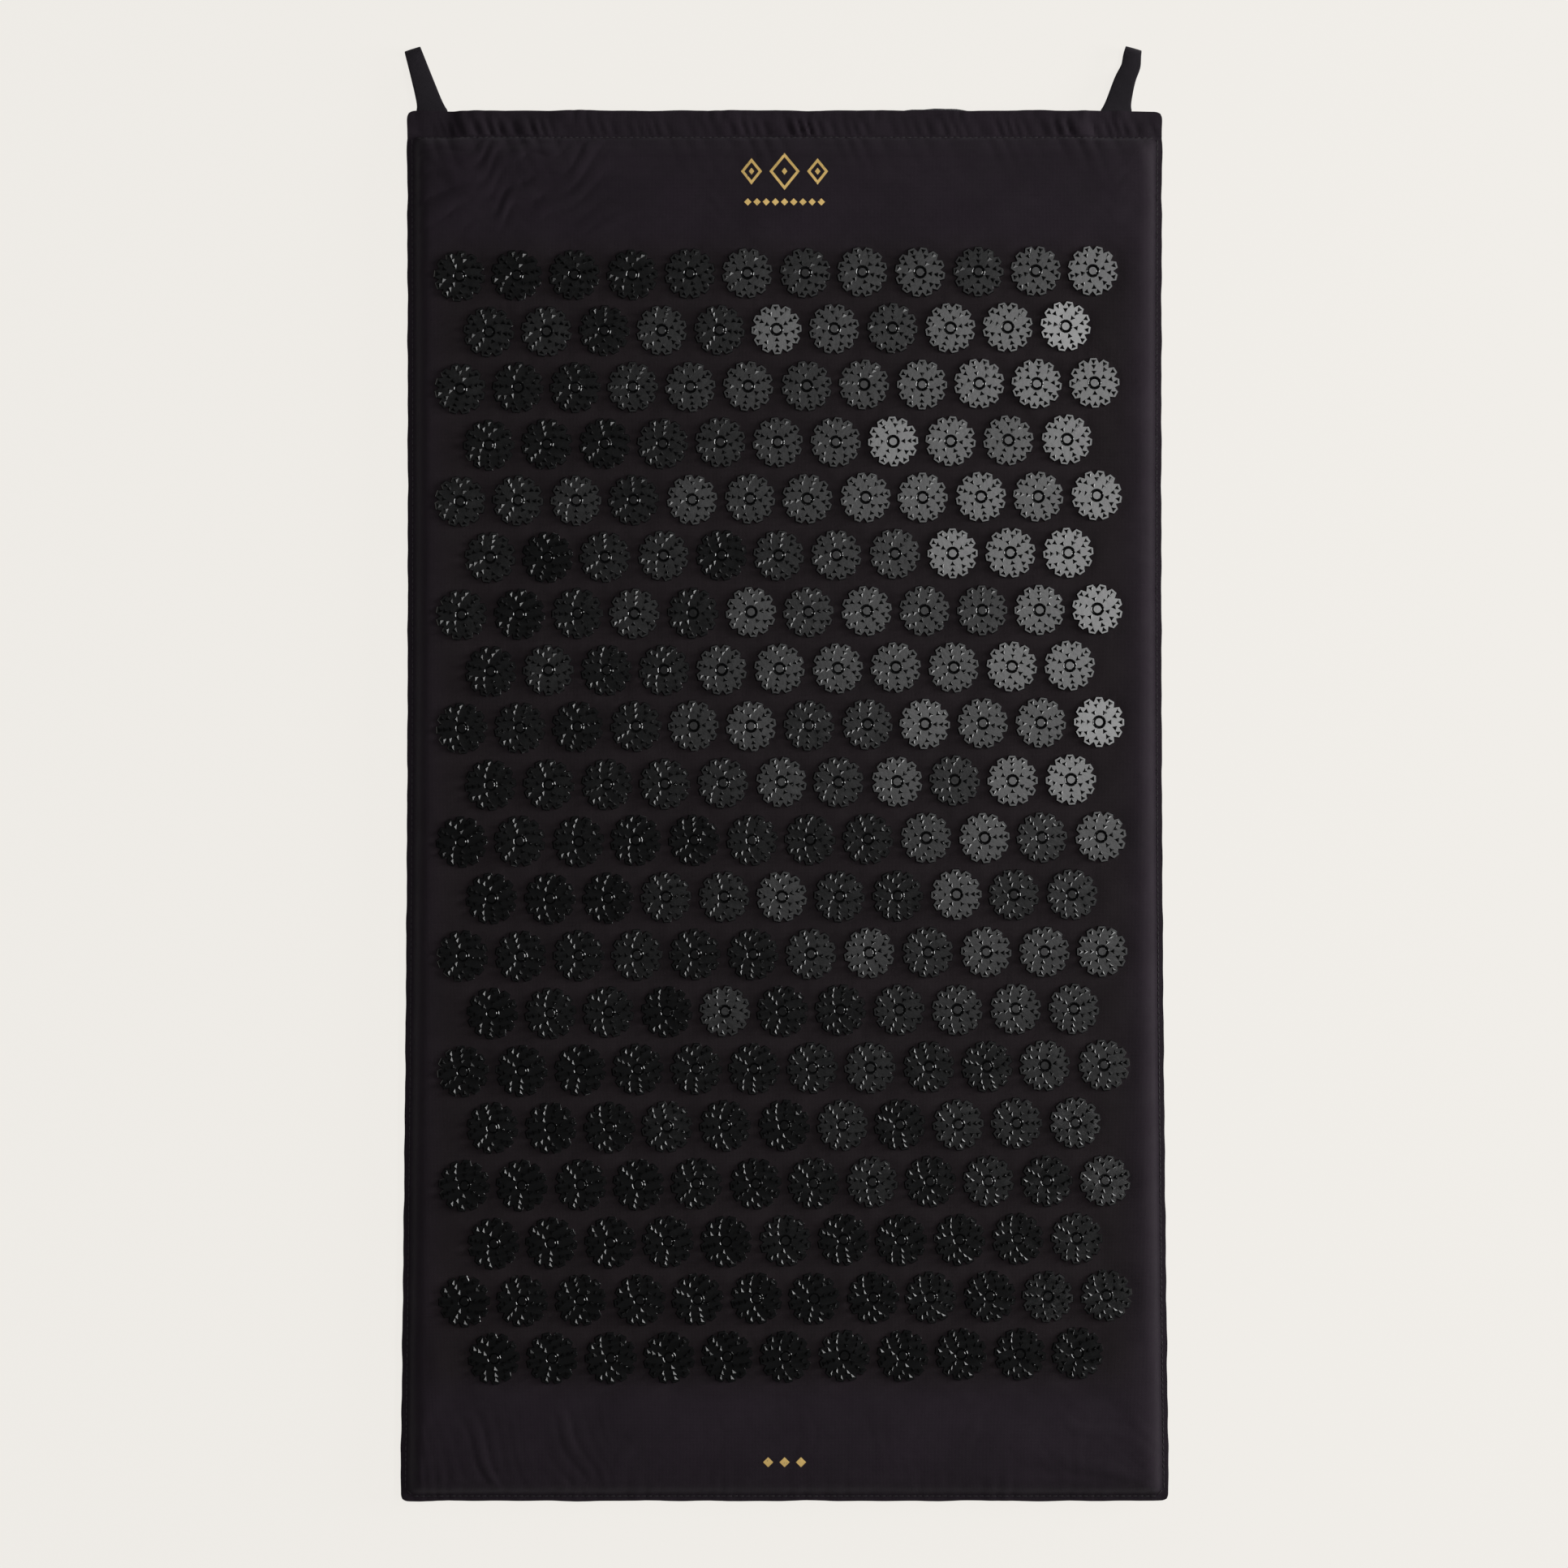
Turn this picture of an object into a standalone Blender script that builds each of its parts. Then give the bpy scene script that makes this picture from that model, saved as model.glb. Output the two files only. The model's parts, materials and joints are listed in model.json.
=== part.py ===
"""Acupressure mat: a foam pad in a cloth cover that carries rows of spiked plastic discs.

The mat lies flat on the floor, discs up. X runs across it, Y along it towards the hanging
loops and Z up. The origin is the middle of the cover's underside. All lengths are in metres.
"""

import math
import random

import bmesh
import bpy
from mathutils import Matrix, Vector

# The cover's outline, seen from above
MAT_WIDTH = 0.400
MAT_LENGTH = 0.730
CORNER_RADIUS = 0.006
SIDE_DRAW_IN = 0.0018

# The cloth, its seam and its rounded shoulders
CLOTH_THICKNESS = 0.0008
FLANGE_WIDTH = 0.004
SHOULDER_WIDTH = 0.009
PLATEAU_CORNER_RADIUS = 0.009
CORNER_STEPS = 3
SHOULDER_STEPS = 4
LONG_SIDE_STEPS = 4
SHORT_SIDE_STEPS = 2

# The foam pad
FOAM_THICKNESS = 0.016
FOAM_EDGE_ROUNDING = 0.0065
FOAM_EASE = 0.0025
FOAM_ROUNDING_STEPS = 3

# The mouth in the top hem, closed by hook and loop tape
HEM_WIDTH = 0.013
TAPE_THICKNESS = 0.0008
TAPE_WIDTH = 0.009
TAPE_END_INSET = 0.004
MOUTH_TO_LOOP = 0.005
MOUTH_END_GAP = 0.0005

# The hanging loops, folded strips of cover cloth sewn into the top seam
LOOP_LENGTH = 0.035
LOOP_ROOT_WIDTH = 0.014
LOOP_TIP_WIDTH = 0.0088
LOOP_STRIP_THICKNESS = 0.0012
LOOP_ROOT_RADIUS = 0.0009
LOOP_TIP_RADIUS = 0.0037
LEFT_LOOP_INSET = 0.0132
RIGHT_LOOP_INSET = 0.0243
LEFT_LOOP_LEAN = math.radians(-18)
RIGHT_LOOP_LEAN = math.radians(16)
LOOP_TURN_SHARE = 0.35
LOOP_LEG_STEPS = 8
LOOP_ROOT_STEPS = 4
LOOP_TIP_STEPS = 6

# The spiked disc
DISC_RADIUS = 0.0135
NOTCH_RADIUS = 0.0112
PETAL_TIP_WIDTH = 0.0036
PETALS = 12
PLATE_THICKNESS = 0.0015
SPIKE_HEIGHT = 0.0042
SPIKE_ROOT_RADIUS = 0.0014
SPIKE_SIDES = 3
OUTER_RING_RADIUS = 0.0114
OUTER_RING_SPIKES = 12
MIDDLE_RING_RADIUS = 0.0088
MIDDLE_RING_SPIKES = 9
INNER_RING_RADIUS = 0.0056
INNER_RING_SPIKES = 6
RECESS_RADIUS = 0.0035
RECESS_DEPTH = 0.0007
BOSS_RADIUS = 0.0013
RECESS_STEPS = 10

# The plain crown that stands for a disc away from the first row
CROWN_FOOT_SHARE = 0.97
CROWN_VALLEY_SHARE = 0.80
CROWN_INNER_TIPS = 3

# The field of discs
DISC_GAP = 0.0033
ROW_GAP = 0.0028
FIELD_TOP_MARGIN = 0.088
FIELD_BOTTOM_MARGIN = 0.070
FIELD_EDGE_CLEARANCE = 0.003
FIELD_SHIFT = -0.0018
FIELD_TURN = math.radians(0.5)
PLACE_JITTER = 0.0003
JITTER_SEED = 7

# Fits
CLEARANCE = 0.0003
BOND_DEPTH = 0.0003
OVERRUN = 0.002
MERGE_DISTANCE = 0.00003
SHARP_ANGLE = math.radians(40)

# Heights, from the floor up
FOAM_BOTTOM = CLOTH_THICKNESS + CLEARANCE
FOAM_TOP = FOAM_BOTTOM + FOAM_THICKNESS
COVER_TOP = FOAM_TOP + CLEARANCE + CLOTH_THICKNESS
SEAM_HEIGHT = COVER_TOP / 2
TOP_FLANGE_FACE = SEAM_HEIGHT + CLEARANCE / 2 + CLOTH_THICKNESS
BOTTOM_FLANGE_FACE = SEAM_HEIGHT - CLEARANCE / 2 - CLOTH_THICKNESS
LOOP_TAPE_BOTTOM = SEAM_HEIGHT + CLEARANCE / 2
HOOK_TAPE_BOTTOM = LOOP_TAPE_BOTTOM + TAPE_THICKNESS + CLEARANCE
FLAP_BOTTOM = HOOK_TAPE_BOTTOM + TAPE_THICKNESS + CLEARANCE
FLAP_AXIS_HEIGHT = FLAP_BOTTOM + CLOTH_THICKNESS / 2

# Places along the mat
TOP_EDGE = MAT_LENGTH / 2
FLAP_AXIS_Y = TOP_EDGE - HEM_WIDTH
LOOP_ROOT_REACH = LOOP_ROOT_RADIUS + LOOP_STRIP_THICKNESS / 2
LOOP_AXIS_Y = TOP_EDGE + LOOP_ROOT_REACH + CLEARANCE

# Places across the mat
LEFT_LOOP_X = -MAT_WIDTH / 2 + LEFT_LOOP_INSET
RIGHT_LOOP_X = MAT_WIDTH / 2 - RIGHT_LOOP_INSET
MOUTH_LEFT = LEFT_LOOP_X + LOOP_ROOT_WIDTH / 2 + MOUTH_TO_LOOP
MOUTH_RIGHT = RIGHT_LOOP_X - LOOP_ROOT_WIDTH / 2 - MOUTH_TO_LOOP
MOUTH_MIDDLE = (MOUTH_LEFT + MOUTH_RIGHT) / 2
MOUTH_LENGTH = MOUTH_RIGHT - MOUTH_LEFT

# Turns a flat outline drawn in X and Y to stand in Y and Z, its thickness along X
OUTLINE_ACROSS_X = (math.pi / 2, 0, math.pi / 2)


def start_empty_file():
    """Remove every object and return the collections for the parts and for the cutters."""
    for old in list(bpy.data.objects):
        bpy.data.objects.remove(old, do_unlink=True)
    parts = bpy.data.collections.new("acupressure_mat")
    cutters = bpy.data.collections.new("cutters")
    bpy.context.scene.collection.children.link(parts)
    bpy.context.scene.collection.children.link(cutters)
    return parts, cutters


def material(name, colour, roughness):
    """Return a plain Principled material."""
    made = bpy.data.materials.new(name)
    made.use_nodes = True
    shader = made.node_tree.nodes["Principled BSDF"]
    shader.inputs["Base Color"].default_value = (*colour, 1)
    shader.inputs["Roughness"].default_value = roughness
    shader.inputs["Metallic"].default_value = 0
    return made


def add_object(name, mesh, collection, surface=None, location=(0, 0, 0)):
    """Put a mesh in a collection as a named object."""
    added = bpy.data.objects.new(name, mesh)
    added.location = location
    collection.objects.link(added)
    if surface and not mesh.materials:
        mesh.materials.append(surface)
    return added


def add_cutter(name, mesh, cutters, location=(0, 0, 0)):
    """Put a mesh in the cutters' collection, drawn as wires and never rendered."""
    cutter = add_object(name, mesh, cutters, location=location)
    cutter.hide_render = True
    cutter.display_type = "WIRE"
    return cutter


def mesh_of(bm, name):
    """Turn a bmesh into a mesh with outward faces."""
    bmesh.ops.recalc_face_normals(bm, faces=bm.faces)
    mesh = bpy.data.meshes.new(name)
    bm.to_mesh(mesh)
    bm.free()
    return mesh


def box_mesh(name, low, high):
    """Return a box between two opposite corners."""
    bm = bmesh.new()
    bmesh.ops.create_cube(bm, size=1)
    size = Vector(high) - Vector(low)
    middle = (Vector(high) + Vector(low)) / 2
    bmesh.ops.transform(bm, matrix=Matrix.LocRotScale(middle, None, size), verts=bm.verts)
    return mesh_of(bm, name)


def combine(target, operand, operation):
    """Add a Boolean modifier that joins or cuts the target with the operand."""
    boolean = target.modifiers.new(operand.name, "BOOLEAN")
    boolean.object = operand
    boolean.operation = operation
    boolean.solver = "EXACT"


def evaluated_mesh(source, name):
    """Return the mesh of an object as its modifiers leave it."""
    bpy.context.view_layer.update()
    graph = bpy.context.evaluated_depsgraph_get()
    mesh = bpy.data.meshes.new_from_object(source.evaluated_get(graph))
    mesh.name = name
    return mesh


def outline_curve(name, points, half_thickness, collection):
    """Return a filled flat outline, thickened to both sides, as a curve object."""
    curve = bpy.data.curves.new(name, "CURVE")
    curve.dimensions = "2D"
    curve.fill_mode = "BOTH"
    curve.extrude = half_thickness
    spline = curve.splines.new("POLY")
    spline.points.add(len(points) - 1)
    for spot, (x, y) in zip(spline.points, points):
        spot.co = (x, y, 0, 1)
    spline.use_cyclic_u = True
    added = bpy.data.objects.new(name, curve)
    collection.objects.link(added)
    return added


def outline_mesh(name, points, half_thickness, collection):
    """Return the closed mesh of a thickened flat outline."""
    drawn = outline_curve(name, points, half_thickness, collection)
    mesh = evaluated_mesh(drawn, name)
    bpy.data.objects.remove(drawn)
    bm = bmesh.new()
    bm.from_mesh(mesh)
    bmesh.ops.remove_doubles(bm, verts=bm.verts, dist=MERGE_DISTANCE)
    bmesh.ops.dissolve_limit(bm, angle_limit=math.radians(1), verts=bm.verts, edges=bm.edges)
    bpy.data.meshes.remove(mesh)
    return mesh_of(bm, name)


def arc(centre, radius, start, end, steps):
    """Return points on an arc from one angle to another, both ends included."""
    points = []
    for step in range(steps + 1):
        angle = start + (end - start) * step / steps
        points.append((centre[0] + radius * math.cos(angle), centre[1] + radius * math.sin(angle)))
    return points


# The cover's two panels

def between(first, last, count):
    """Return evenly spaced points between two points, without the two themselves."""
    points = []
    for step in range(1, count + 1):
        share = step / (count + 1)
        points.append((first[0] + (last[0] - first[0]) * share, first[1] + (last[1] - first[1]) * share))
    return points


def cover_outline(inset, top_inset, radius):
    """Return the cover's outline moved inwards, its long sides drawn in along the middle."""
    right = MAT_WIDTH / 2 - inset - radius
    top = TOP_EDGE - top_inset - radius
    bottom = -TOP_EDGE + inset + radius
    quarter = math.pi / 2
    corners = [
        arc((right, bottom), radius, -quarter, 0, CORNER_STEPS),
        arc((right, top), radius, 0, quarter, CORNER_STEPS),
        arc((-right, top), radius, quarter, math.pi, CORNER_STEPS),
        arc((-right, bottom), radius, math.pi, 3 * quarter, CORNER_STEPS),
    ]
    side_steps = [LONG_SIDE_STEPS, SHORT_SIDE_STEPS, LONG_SIDE_STEPS, SHORT_SIDE_STEPS]
    points = []
    for number, corner in enumerate(corners):
        following = corners[(number + 1) % len(corners)]
        points += corner + between(corner[-1], following[0], side_steps[number])
    drawn_in = []
    for x, y in points:
        pull = SIDE_DRAW_IN * math.cos(math.pi * y / MAT_LENGTH) * 2 * x / MAT_WIDTH
        drawn_in.append((x - pull, y))
    return drawn_in


def panel_mesh(name, flange_face, plateau_face):
    """Loft a panel's outer face from its seam flange over the shoulder to its flat middle."""
    sections = [(cover_outline(0, 0, CORNER_RADIUS), flange_face)]
    for step in range(SHOULDER_STEPS + 1):
        angle = math.pi / 2 * step / SHOULDER_STEPS
        run = SHOULDER_WIDTH * (1 - math.cos(angle))
        height = flange_face + (plateau_face - flange_face) * math.sin(angle)
        radius = CORNER_RADIUS + (PLATEAU_CORNER_RADIUS - CORNER_RADIUS) * step / SHOULDER_STEPS
        sections.append((cover_outline(FLANGE_WIDTH + run, HEM_WIDTH + run, radius), height))
    bm = bmesh.new()
    rings = []
    for points, height in sections:
        rings.append([bm.verts.new((x, y, height)) for x, y in points])
    for outer, inner in zip(rings, rings[1:]):
        for here in range(len(outer)):
            after = (here + 1) % len(outer)
            bm.faces.new((outer[here], outer[after], inner[after], inner[here]))
    bm.faces.new(rings[-1])
    faces_down = plateau_face < flange_face
    if faces_down:
        bmesh.ops.reverse_faces(bm, faces=bm.faces)
    mesh = bpy.data.meshes.new(name)
    bm.to_mesh(mesh)
    bm.free()
    return mesh


def cloth_panel(name, flange_face, plateau_face, collection, surface):
    """Make a panel of the cover as an open surface thickened inwards to the cloth's thickness."""
    panel = add_object(name, panel_mesh(name, flange_face, plateau_face), collection, surface)
    thicken = panel.modifiers.new("cloth", "SOLIDIFY")
    thicken.thickness = CLOTH_THICKNESS
    thicken.offset = -1
    thicken.use_even_offset = True
    return panel


def mouth_cutter(cutters):
    """Cut the top panel's hem away where the mouth's flap takes its place."""
    low = (
        MOUTH_LEFT - MOUTH_END_GAP,
        FLAP_AXIS_Y - CLOTH_THICKNESS / 2 - CLEARANCE,
        SEAM_HEIGHT,
    )
    high = (MOUTH_RIGHT + MOUTH_END_GAP, TOP_EDGE + OVERRUN, COVER_TOP)
    return add_cutter("mouth_cutter", box_mesh("mouth_cutter", low, high), cutters)


def foam_pad(collection, surface):
    """Make the foam pad that fills the cover, its edges rounded."""
    inset = FLANGE_WIDTH + SIDE_DRAW_IN + FOAM_EASE
    low = (-MAT_WIDTH / 2 + inset, -TOP_EDGE + inset, FOAM_BOTTOM)
    top_inset = HEM_WIDTH + SIDE_DRAW_IN + FOAM_EASE
    high = (MAT_WIDTH / 2 - inset, TOP_EDGE - top_inset, FOAM_TOP)
    pad = add_object("foam_pad", box_mesh("foam_pad", low, high), collection, surface)
    rounding = pad.modifiers.new("rounded_edges", "BEVEL")
    rounding.width = FOAM_EDGE_ROUNDING
    rounding.segments = FOAM_ROUNDING_STEPS
    return pad


# The mouth's flap and its two tapes

def mouth_flap(collection, surface):
    """Make the hem strip that closes the mouth, with a rounded root on its hinge line."""
    half = CLOTH_THICKNESS / 2
    quarter = math.pi / 2
    far_end = HEM_WIDTH - half
    steps = LOOP_ROOT_STEPS
    points = arc((far_end, 0), half, -quarter, quarter, steps) + arc((0, 0), half, quarter, 3 * quarter, steps)
    mesh = outline_mesh("mouth_flap", points, MOUTH_LENGTH / 2, collection)
    flap = add_object("mouth_flap", mesh, collection, surface)
    flap.location = (MOUTH_MIDDLE, FLAP_AXIS_Y, FLAP_AXIS_HEIGHT)
    flap.rotation_euler = OUTLINE_ACROSS_X
    return flap


def tape_mesh(name, bottom, origin):
    """Return a strip of tape under the flap, drawn from the given origin."""
    first = FLAP_AXIS_Y + (HEM_WIDTH - TAPE_WIDTH) / 2
    low = Vector((MOUTH_LEFT + TAPE_END_INSET, first, bottom))
    high = Vector((MOUTH_RIGHT - TAPE_END_INSET, first + TAPE_WIDTH, bottom + TAPE_THICKNESS))
    return box_mesh(name, low - origin, high - origin)


def hook_tape(flap, collection, surface):
    """Make the hook tape sewn under the flap, which it moves with."""
    axis = Vector((MOUTH_MIDDLE, FLAP_AXIS_Y, FLAP_AXIS_HEIGHT))
    tape = add_object("hook_tape", tape_mesh("hook_tape", HOOK_TAPE_BOTTOM, axis), collection, surface)
    tape.location = axis
    bpy.context.view_layer.update()
    tape.parent = flap
    tape.matrix_parent_inverse = flap.matrix_world.inverted()
    return tape


def loop_tape(collection, surface):
    """Make the loop tape sewn on the bottom panel's lip."""
    mesh = tape_mesh("loop_tape", LOOP_TAPE_BOTTOM, Vector((0, 0, 0)))
    return add_object("loop_tape", mesh, collection, surface)


# The hanging loops

def loop_side_view():
    """Return the strip's middle line seen from the side, as (along, height) points round the eye."""
    reach = LOOP_LENGTH - LOOP_TIP_RADIUS
    drop = SEAM_HEIGHT - LOOP_TIP_RADIUS - LOOP_STRIP_THICKNESS / 2
    quarter = math.pi / 2
    lower = []
    upper = []
    for step in range(1, LOOP_LEG_STEPS):
        share = step / LOOP_LEG_STEPS
        middle = -drop * (1 - math.cos(math.pi * share)) / 2
        half_eye = LOOP_ROOT_RADIUS + (LOOP_TIP_RADIUS - LOOP_ROOT_RADIUS) * math.sin(quarter * share)
        lower.append((reach * share, middle - half_eye))
        upper.append((reach * share, middle + half_eye))
    root = arc((0, 0), LOOP_ROOT_RADIUS, quarter, 3 * quarter, LOOP_ROOT_STEPS)
    tip = arc((reach, -drop), LOOP_TIP_RADIUS, -quarter, quarter, LOOP_TIP_STEPS)
    return root + lower + tip + upper[::-1]


def loop_mesh(name, lean):
    """Sweep the strip's middle line across its width, narrowing to the tip and leaning sideways."""
    bm = bmesh.new()
    left = []
    right = []
    for along, height in loop_side_view():
        share = max(along, 0) / LOOP_LENGTH
        half_width = (LOOP_ROOT_WIDTH + (LOOP_TIP_WIDTH - LOOP_ROOT_WIDTH) * share) / 2
        turn = lean * min(share / LOOP_TURN_SHARE, 1)
        middle = Vector((max(along, 0) * math.sin(lean), along * math.cos(lean), height))
        across = Vector((math.cos(turn), -math.sin(turn), 0)) * half_width
        left.append(bm.verts.new(middle - across))
        right.append(bm.verts.new(middle + across))
    for here in range(len(left)):
        after = (here + 1) % len(left)
        bm.faces.new((left[here], left[after], right[after], right[here]))
    return mesh_of(bm, name)


def hanging_loop(name, root_x, lean, collection, surface):
    """Make a hanging loop whose rounded root lies on its hinge line at the seam's edge."""
    loop = add_object(name, loop_mesh(name, lean), collection, surface)
    loop.location = (root_x, LOOP_AXIS_Y, SEAM_HEIGHT)
    thicken = loop.modifiers.new("strip", "SOLIDIFY")
    thicken.thickness = LOOP_STRIP_THICKNESS
    thicken.offset = 0
    thicken.use_even_offset = True
    return loop


# The spiked disc

def plate_points():
    """Return the disc's outline: twelve petals with flat tips and a notch between each two."""
    half_tip = math.asin(PETAL_TIP_WIDTH / 2 / DISC_RADIUS)
    points = []
    for petal in range(PETALS):
        middle = 2 * math.pi * petal / PETALS
        notch = middle + math.pi / PETALS
        for angle, radius in ((middle - half_tip, DISC_RADIUS), (middle + half_tip, DISC_RADIUS),
                              (notch, NOTCH_RADIUS)):
            points.append((radius * math.cos(angle), radius * math.sin(angle)))
    return points


def spike_places():
    """Return (x, y, turn) of every spike: three rings, each spike with an edge outwards."""
    places = []
    rings = (
        (OUTER_RING_RADIUS, OUTER_RING_SPIKES),
        (MIDDLE_RING_RADIUS, MIDDLE_RING_SPIKES),
        (INNER_RING_RADIUS, INNER_RING_SPIKES),
    )
    for radius, count in rings:
        for number in range(count):
            angle = 2 * math.pi * number / count
            places.append((radius * math.cos(angle), radius * math.sin(angle), angle))
    return places


def spikes_mesh():
    """Return the disc's pyramids, each sunk a little into the plate."""
    bm = bmesh.new()
    depth = SPIKE_HEIGHT + BOND_DEPTH
    for x, y, turn in spike_places():
        middle = Vector((x, y, PLATE_THICKNESS - BOND_DEPTH + depth / 2))
        place = Matrix.Translation(middle) @ Matrix.Rotation(turn, 4, "Z")
        bmesh.ops.create_cone(
            bm,
            cap_ends=True,
            segments=SPIKE_SIDES,
            radius1=SPIKE_ROOT_RADIUS,
            radius2=0,
            depth=depth,
            matrix=place,
        )
    bmesh.ops.remove_doubles(bm, verts=bm.verts, dist=MERGE_DISTANCE)
    return mesh_of(bm, "spikes")


def recess_cutter(cutters):
    """Turn the ring-shaped cut that leaves a small boss standing in the disc's middle."""
    floor = PLATE_THICKNESS - RECESS_DEPTH
    ceiling = PLATE_THICKNESS + OVERRUN
    profile = [(RECESS_RADIUS, ceiling), (RECESS_RADIUS, floor), (BOSS_RADIUS, floor), (BOSS_RADIUS, ceiling)]
    bm = bmesh.new()
    spots = [bm.verts.new((x, 0, z)) for x, z in profile]
    for here in range(len(spots)):
        bm.edges.new((spots[here], spots[(here + 1) % len(spots)]))
    mesh = bpy.data.meshes.new("recess_cutter")
    bm.to_mesh(mesh)
    bm.free()
    cutter = add_cutter("recess_cutter", mesh, cutters)
    turned = cutter.modifiers.new("turned", "SCREW")
    turned.steps = RECESS_STEPS
    turned.render_steps = RECESS_STEPS
    turned.use_merge_vertices = True
    turned.merge_threshold = MERGE_DISTANCE
    return cutter


def disc_mesh(cutters, surface):
    """Build one full disc: petalled plate, ringed recess and twenty-seven pyramids."""
    outline = outline_mesh("disc_plate", plate_points(), PLATE_THICKNESS / 2, cutters)
    outline.transform(Matrix.Translation((0, 0, PLATE_THICKNESS / 2)))
    pattern = add_cutter("disc_pattern", outline, cutters)
    combine(pattern, recess_cutter(cutters), "DIFFERENCE")
    combine(pattern, add_cutter("disc_spikes", spikes_mesh(), cutters), "UNION")
    mesh = evaluated_mesh(pattern, "spike_disc")
    mesh.materials.clear()
    mesh.materials.append(surface)
    return mesh


def disc_rows():
    """Return the discs' places row by row, from the loops' end, as lists of (x, y, turn)."""
    generator = random.Random(JITTER_SEED)
    pitch = 2 * DISC_RADIUS + DISC_GAP
    row_pitch = 2 * DISC_RADIUS + ROW_GAP
    edge = FLANGE_WIDTH + SHOULDER_WIDTH + SIDE_DRAW_IN + FIELD_EDGE_CLEARANCE + DISC_RADIUS
    across = int((MAT_WIDTH - 2 * edge) / pitch) + 1
    down = int((MAT_LENGTH - FIELD_TOP_MARGIN - FIELD_BOTTOM_MARGIN) / row_pitch) + 1
    first_y = TOP_EDGE - FIELD_TOP_MARGIN
    middle_y = first_y - row_pitch * (down - 1) / 2
    field = Matrix.Translation((FIELD_SHIFT, middle_y, 0)) @ Matrix.Rotation(FIELD_TURN, 4, "Z")
    rows = []
    for row in range(down):
        count = across - row % 2
        places = []
        for column in range(count):
            x = pitch * (column - (count - 1) / 2) + generator.uniform(-PLACE_JITTER, PLACE_JITTER)
            y = first_y - middle_y - row_pitch * row + generator.uniform(-PLACE_JITTER, PLACE_JITTER)
            spot = field @ Vector((x, y, 0))
            places.append((spot.x, spot.y, generator.uniform(0, 2 * math.pi)))
        rows.append(places)
    return rows


def first_row_discs(places, mesh, collection):
    """Place the first row's discs as pieces of their own, resting on the cloth."""
    for number, (x, y, turn) in enumerate(places, start=1):
        disc = add_object(f"spike_disc_{number:02d}", mesh, collection)
        disc.location = (x, y, COVER_TOP + CLEARANCE)
        disc.rotation_euler = (0, 0, turn)


def crown_rings():
    """Return the crown's rings of points from the foot up to the middle, for a disc at the origin."""
    tip = COVER_TOP + PLATE_THICKNESS + SPIKE_HEIGHT
    valley = COVER_TOP + PLATE_THICKNESS
    centre = valley - RECESS_DEPTH
    foot = []
    crown = []
    for number in range(PETALS):
        angle = 2 * math.pi * number / PETALS
        foot.append(Vector((math.cos(angle), math.sin(angle), 0)) * DISC_RADIUS * CROWN_FOOT_SHARE)
        is_tip = number % 2 == 0
        radius = OUTER_RING_RADIUS if is_tip else OUTER_RING_RADIUS * CROWN_VALLEY_SHARE
        height = tip if is_tip else valley
        crown.append(Vector((radius * math.cos(angle), radius * math.sin(angle), height)))
    inner = []
    for number in range(CROWN_INNER_TIPS):
        angle = 2 * math.pi * (number + 1 / 4) / CROWN_INNER_TIPS
        inner.append(Vector((INNER_RING_RADIUS * math.cos(angle), INNER_RING_RADIUS * math.sin(angle), tip)))
    skirt = [point + Vector((0, 0, COVER_TOP - BOND_DEPTH)) for point in foot]
    foot = [point + Vector((0, 0, COVER_TOP)) for point in foot]
    return skirt, foot, crown, inner, Vector((0, 0, centre))


def add_crown(bm, place):
    """Add one crown of the disc field: a foot bonded into the cloth, outer and inner tips."""
    skirt, foot, crown, inner, centre = crown_rings()
    skirt, foot, crown, inner = (
        [bm.verts.new(place @ point) for point in ring] for ring in (skirt, foot, crown, inner)
    )
    middle = bm.verts.new(place @ centre)
    bm.faces.new(skirt[::-1])
    for here in range(PETALS):
        after = (here + 1) % PETALS
        bm.faces.new((skirt[here], skirt[after], foot[after], foot[here]))
        bm.faces.new((foot[here], foot[after], crown[here]))
        bm.faces.new((foot[after], crown[after], crown[here]))
    span = PETALS // CROWN_INNER_TIPS
    for number in range(CROWN_INNER_TIPS):
        start = number * span - span // 4
        for step in range(span):
            here = (start + step) % PETALS
            bm.faces.new((crown[here], crown[(here + 1) % PETALS], inner[number]))
        last = (start + span) % PETALS
        following = inner[(number + 1) % CROWN_INNER_TIPS]
        bm.faces.new((crown[last], following, inner[number]))
        bm.faces.new((inner[number], following, middle))


def crown_field(rows, cutters):
    """Return the crowns of every row after the first, to be bonded onto the top panel."""
    bm = bmesh.new()
    for places in rows:
        for x, y, turn in places:
            add_crown(bm, Matrix.Translation((x, y, 0)) @ Matrix.Rotation(turn, 4, "Z"))
    return add_cutter("crown_field", mesh_of(bm, "crown_field"), cutters)


def shade_round(parts):
    """Shade the rounded pieces smooth, with sharp edges where faces turn hard."""
    for name in ("top_panel", "bottom_panel", "foam_pad", "left_hanging_loop", "right_hanging_loop"):
        mesh = parts.objects[name].data
        mesh.shade_smooth()
        mesh.set_sharp_from_angle(angle=SHARP_ANGLE)


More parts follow.
